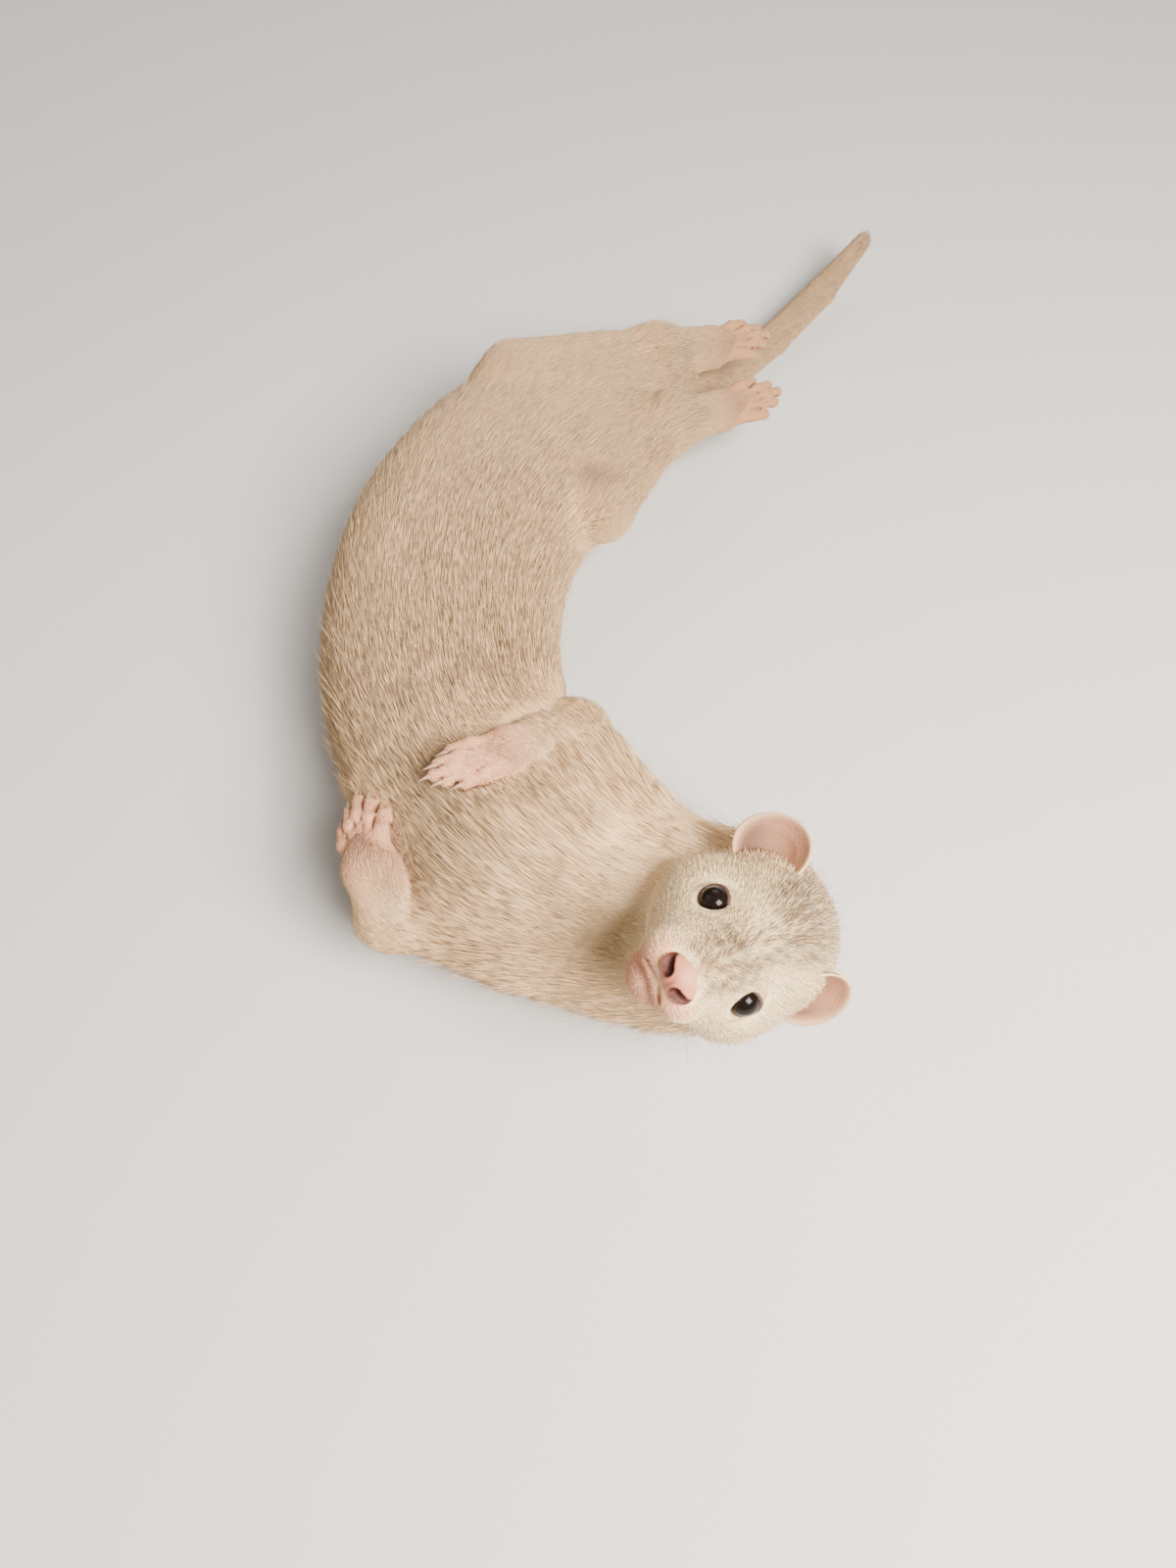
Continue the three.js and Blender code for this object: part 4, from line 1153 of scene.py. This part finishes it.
def ear_points(name, r, turn, inner):
    """Places on an ear's cup: r from its middle to its rim, turn round it."""
    side = SIDES[name]
    opening = unit(mirror(EAR_OPENING[name], side) @ HEAD_AXES)
    outwards = mirror(EAR_OUTWARDS, side) @ HEAD_AXES
    outwards = unit(outwards - (outwards @ opening) * opening)
    across = np.cross(opening, outwards)
    centre = from_head(mirror(EAR_AT[name], side))
    rim_wave = 1 + 0.03 * np.sin(3 * turn + 0.6) * r
    reach = EAR_REACH * r * rim_wave
    fold = 0.3 * np.exp(-(((r - 0.62) / 0.11) ** 2)) * step01((np.sin(turn - 0.4) + 0.25) / 0.8)
    depth = -EAR_DEPTH * (1 - r**2) + fold * inner - 0.35 * (r**6) * np.cos(2 * turn)
    thick = 1.15 * (1 - 0.65 * r**3)
    depth = depth - (1 - inner) * thick
    reach = reach + (1 - inner) * 0.35 * r
    x = reach * np.cos(turn)
    z = 0.95 * reach * np.sin(turn)
    return centre + x[..., None] * across + depth[..., None] * opening + z[..., None] * outwards


def make_ear(name):
    rings, around = 16, 48
    r = np.linspace(0, 1, rings + 1)[1:]
    turn = np.linspace(0, 2 * np.pi, around, endpoint=False)
    rr, tt = np.meshgrid(r, turn, indexing="ij")
    inside = ear_points(name, rr, tt, 1.0).reshape(-1, 3)
    outside = ear_points(name, rr, tt, 0.0).reshape(-1, 3)
    hub_in = ear_points(name, np.array([0.0]), np.array([0.0]), 1.0)
    hub_out = ear_points(name, np.array([0.0]), np.array([0.0]), 0.0)
    points = np.concatenate([inside, outside, hub_in, hub_out])
    k = np.arange(around)
    nxt = (k + 1) % around
    faces = []
    for row in range(rings - 1):
        a, b = row * around + k, row * around + nxt
        faces += [np.c_[a, a + around, b + around], np.c_[a, b + around, b]]
        a, b = a + rings * around, b + rings * around
        faces += [np.c_[a, b + around, a + around], np.c_[a, b, b + around]]
    a, b = (rings - 1) * around + k, (rings - 1) * around + nxt
    c, d = a + rings * around, b + rings * around
    faces += [np.c_[a, c, d], np.c_[a, d, b]]
    hub = 2 * rings * around
    faces += [np.c_[k, nxt, np.full(around, hub)]]
    faces += [np.c_[rings * around + nxt, rings * around + k, np.full(around, hub + 1)]]
    faces = facing_out(points, np.concatenate(faces))
    ear = mesh_piece(f"ear_cup_{name}", points, faces, EAR_SKIN)
    radius = np.concatenate([rr.ravel(), rr.ravel(), [0, 0]])
    is_inside = np.concatenate([np.ones(rr.size), np.zeros(rr.size), [1, 0]])
    colours = np.tile(EAR_PINK, (len(points), 1))
    # Painted shade inside the cup: darker deep towards its middle, and more so lower down.
    low = step01((5 - (in_head(points) - in_head(points[-2:]).mean(0))[:, 2]) / 10)
    colours = toward(colours, EAR_HOLLOW_SHADE, is_inside * step01((1 - radius) / 0.28) * (0.15 + 0.75 * low))
    colours = toward(colours, FACE_WHITE, (1 - is_inside) * 0.5 + 0.3 * step01((radius - 0.88) / 0.1))
    give_tint(ear.data, colours)
    dressed(ear, "ear_skin", f"ear_{name}")
    return ear, radius, is_inside


def ear_hair_surface(ear, radius, is_inside):
    """A copy of an ear that carries its down's plan."""
    surface = copied(ear)
    points = points_of(surface.data)
    same = np.ones(len(points))
    length = np.where(is_inside > 0.5, 1.0, 1.5)
    crowd = np.where(is_inside > 0.5, 0, 2.6 * step01((0.97 - radius) / 0.1))
    lie = points - points[-2:].mean(0)
    give_plan(surface.data, lie, np.c_[0.22 * same, length, 0.2 * same], 0.35 * same, 0.05 * same, crowd)
    return surface


def make_claws():
    parts = []
    for leg in LIMBS.values():
        for toe in toes_of(leg):
            start = toe["end"] + 0.1 * (toe["bend"] - toe["end"]) + 0.3 * toe["back"]
            tip = start + 0.68 * (toe["claw"] - start)
            middle = start + 0.55 * (tip - start) + 0.7 * toe["back"]
            rows = np.array([curve_point([start, middle, tip], t) for t in np.linspace(0, 1, 9)])
            parts.append(tube(rows, 0.72 * (1 - np.linspace(0, 1, 9) ** 1.3) + 0.06, 8))
    dressed(mesh_piece("claws", *joined(parts), CLAW_HORN), "paw_skin")


def make_whiskers():
    parts = []
    for side in SIDES.values():
        for row in range(3):
            for i in range(5):
                start = v3(21 - 3.2 * i, (7.2 + 0.75 * i) * side, -6.2 - 1.7 * row - 0.2 * i)
                reach = 9 + 2.6 * i + 6 * rng.random()
                out = unit(v3(-0.15 - 0.15 * i, 1.0 * side, 0.35 - 0.4 * row + 0.5 * (rng.random() - 0.5)))
                sweep = unit(v3(-1.0, 0.35 * side, -0.15 * row))
                t = np.linspace(0, 1, 9)[:, None]
                path = start - out * 1.5 + reach * (out * t * (1 - 0.35 * t) + sweep * 0.55 * t**2)
                parts.append(tube(from_head(path), 0.085 * (1 - 0.8 * t[:, 0]), 5))
    dressed(mesh_piece("whiskers", *joined(parts), WHISKER_HAIR), "face_fur")


# Put together

# Painted light: the skin between the tufts is made a little lighter than the coat, against the shade that
# falls between the tufts.
SKIN_PAINTED_LIGHTER = 1.05
TUFTS_PER_SQUARE_METRE = 8.8e5
EAR_TUFTS_PER_SQUARE_METRE = 2.0e6
MOST_TUFTS = 19500
SLOT_OF = {"head": "face_fur", "paws": "paw_skin"}
TRUNK_NODES = ("head", "neck", "chest", "belly", "hips", "tail_base", "tail_tip")
LEG_NODES = ("foreleg", "forepaw", "hindleg", "hindfoot")


def coat_of_body(tufts, roots, faces):
    """Pieces of coat named by part, each split so that it holds no more than MOST_TUFTS tufts."""
    names = part_names(roots)
    for name in sorted(set(names)):
        slot = SLOT_OF.get(name, "body_fur")
        chosen = np.flatnonzero(names == name)
        chosen = chosen[np.argsort(roots[chosen, 1], kind="stable")]
        shares = np.array_split(chosen, max(1, math.ceil(len(chosen) / MOST_TUFTS)))
        for number, share in enumerate(shares):
            coat_piece(f"coat_{name}_{number + 1}", tufts[share], roots[share], faces, slot)


def coat_of_ears(ears, tree, named, faces):
    grown = []
    for ear, radius, is_inside in ears:
        surface = ear_hair_surface(ear, radius, is_inside)
        grown.append(scatter_tufts(surface, tree, named, EAR_TUFTS_PER_SQUARE_METRE, 7, 300))
        bpy.data.objects.remove(surface)
    coat_piece("coat_ears", *[np.concatenate(both) for both in zip(*grown)], faces, "ear_skin")


make_eyes()
make_lids()
make_nose()
make_claws()
make_whiskers()
ears = [make_ear(name) for name in SIDES]

skin = make_skin()
# Painted light: the skin is a little lighter than the coat above it.
give_tint(skin.data, coat_colours(points_of(skin.data)) * SKIN_PAINTED_LIGHTER)
dressed(skin, "body_fur", *TRUNK_NODES, *[f"{part}_{side}" for part in LEG_NODES for side in SIDES])

blades = [blade(index, bend) for index, bend in enumerate(BLADE_BENDS)]
patterns = [pattern for pattern, _ in blades]
tuft_faces = blades[-1][1]
tree, named = coat_tree(patterns)

surface = body_surface(skin)
tufts, roots = scatter_tufts(surface, tree, named, TUFTS_PER_SQUARE_METRE, 3, 110)
clear = clear_of_eyes(tufts)
guard = guard_surface(surface)
guard_hairs = scatter_tufts(guard, tree, named, TUFTS_PER_SQUARE_METRE, 21, 60)
coat_piece("coat_guard_hairs", *guard_hairs, tuft_faces, "body_fur")
coat_of_body(tufts[clear], roots[clear], tuft_faces)
coat_of_ears(ears, tree, named, tuft_faces)

for spare in patterns + [surface, guard]:
    bpy.data.objects.remove(spare)


# Floor, light and camera

floor_finish = finish("floor", (0.64, 0.63, 0.61), 0.8, 0.01, 30.0)
floor = mesh_piece("floor", [v3(-900, -900, 0), v3(1100, -900, 0), v3(1100, 1100, 0), v3(-900, 1100, 0)],
                   [(0, 1, 2, 3)], floor_finish, smooth=False)


WARM_WHITE = (1.0, 0.94, 0.87)


def lamp(name, place, target, power, size):
    data = bpy.data.lights.new(name, "AREA")
    data.energy = power
    data.color = WARM_WHITE
    data.size = size
    lit = bpy.data.objects.new(name, data)
    lit.location = place
    lit.rotation_euler = (Vector(target) - Vector(place)).to_track_quat("-Z", "Y").to_euler()
    bpy.context.scene.collection.objects.link(lit)


lamp("key", (0.38, -0.40, 0.60), (0.06, -0.10, 0.05), 24, 0.4)
lamp("fill", (-0.9, 0.2, 0.9), (0, 0, 0), 4, 1.0)
lamp("rim", (0.2, 1.1, 0.8), (0, 0, 0), 6, 0.8)
world = bpy.data.worlds.new("studio")
world.use_nodes = True
sky = world.node_tree.nodes["Background"].inputs
sky["Color"].default_value = (1.0, 0.98, 0.95, 1)
sky["Strength"].default_value = 0.16
bpy.context.scene.world = world

# The estimated focal length and the picture's longer side, in pixels, and the camera's tilt
# from straight down, in degrees
FOCAL_LENGTH = 1164
LONG_SIDE = 1600
CAMERA_TILT = 30
camera_data = bpy.data.cameras.new("camera")
camera_data.sensor_width = 36
camera_data.lens = FOCAL_LENGTH / LONG_SIDE * camera_data.sensor_width
camera = bpy.data.objects.new("camera", camera_data)
camera.location = (0.040, -0.215, 0.3056)
camera.rotation_euler = (math.radians(CAMERA_TILT), 0, 0)
bpy.context.scene.collection.objects.link(camera)
bpy.context.scene.camera = camera
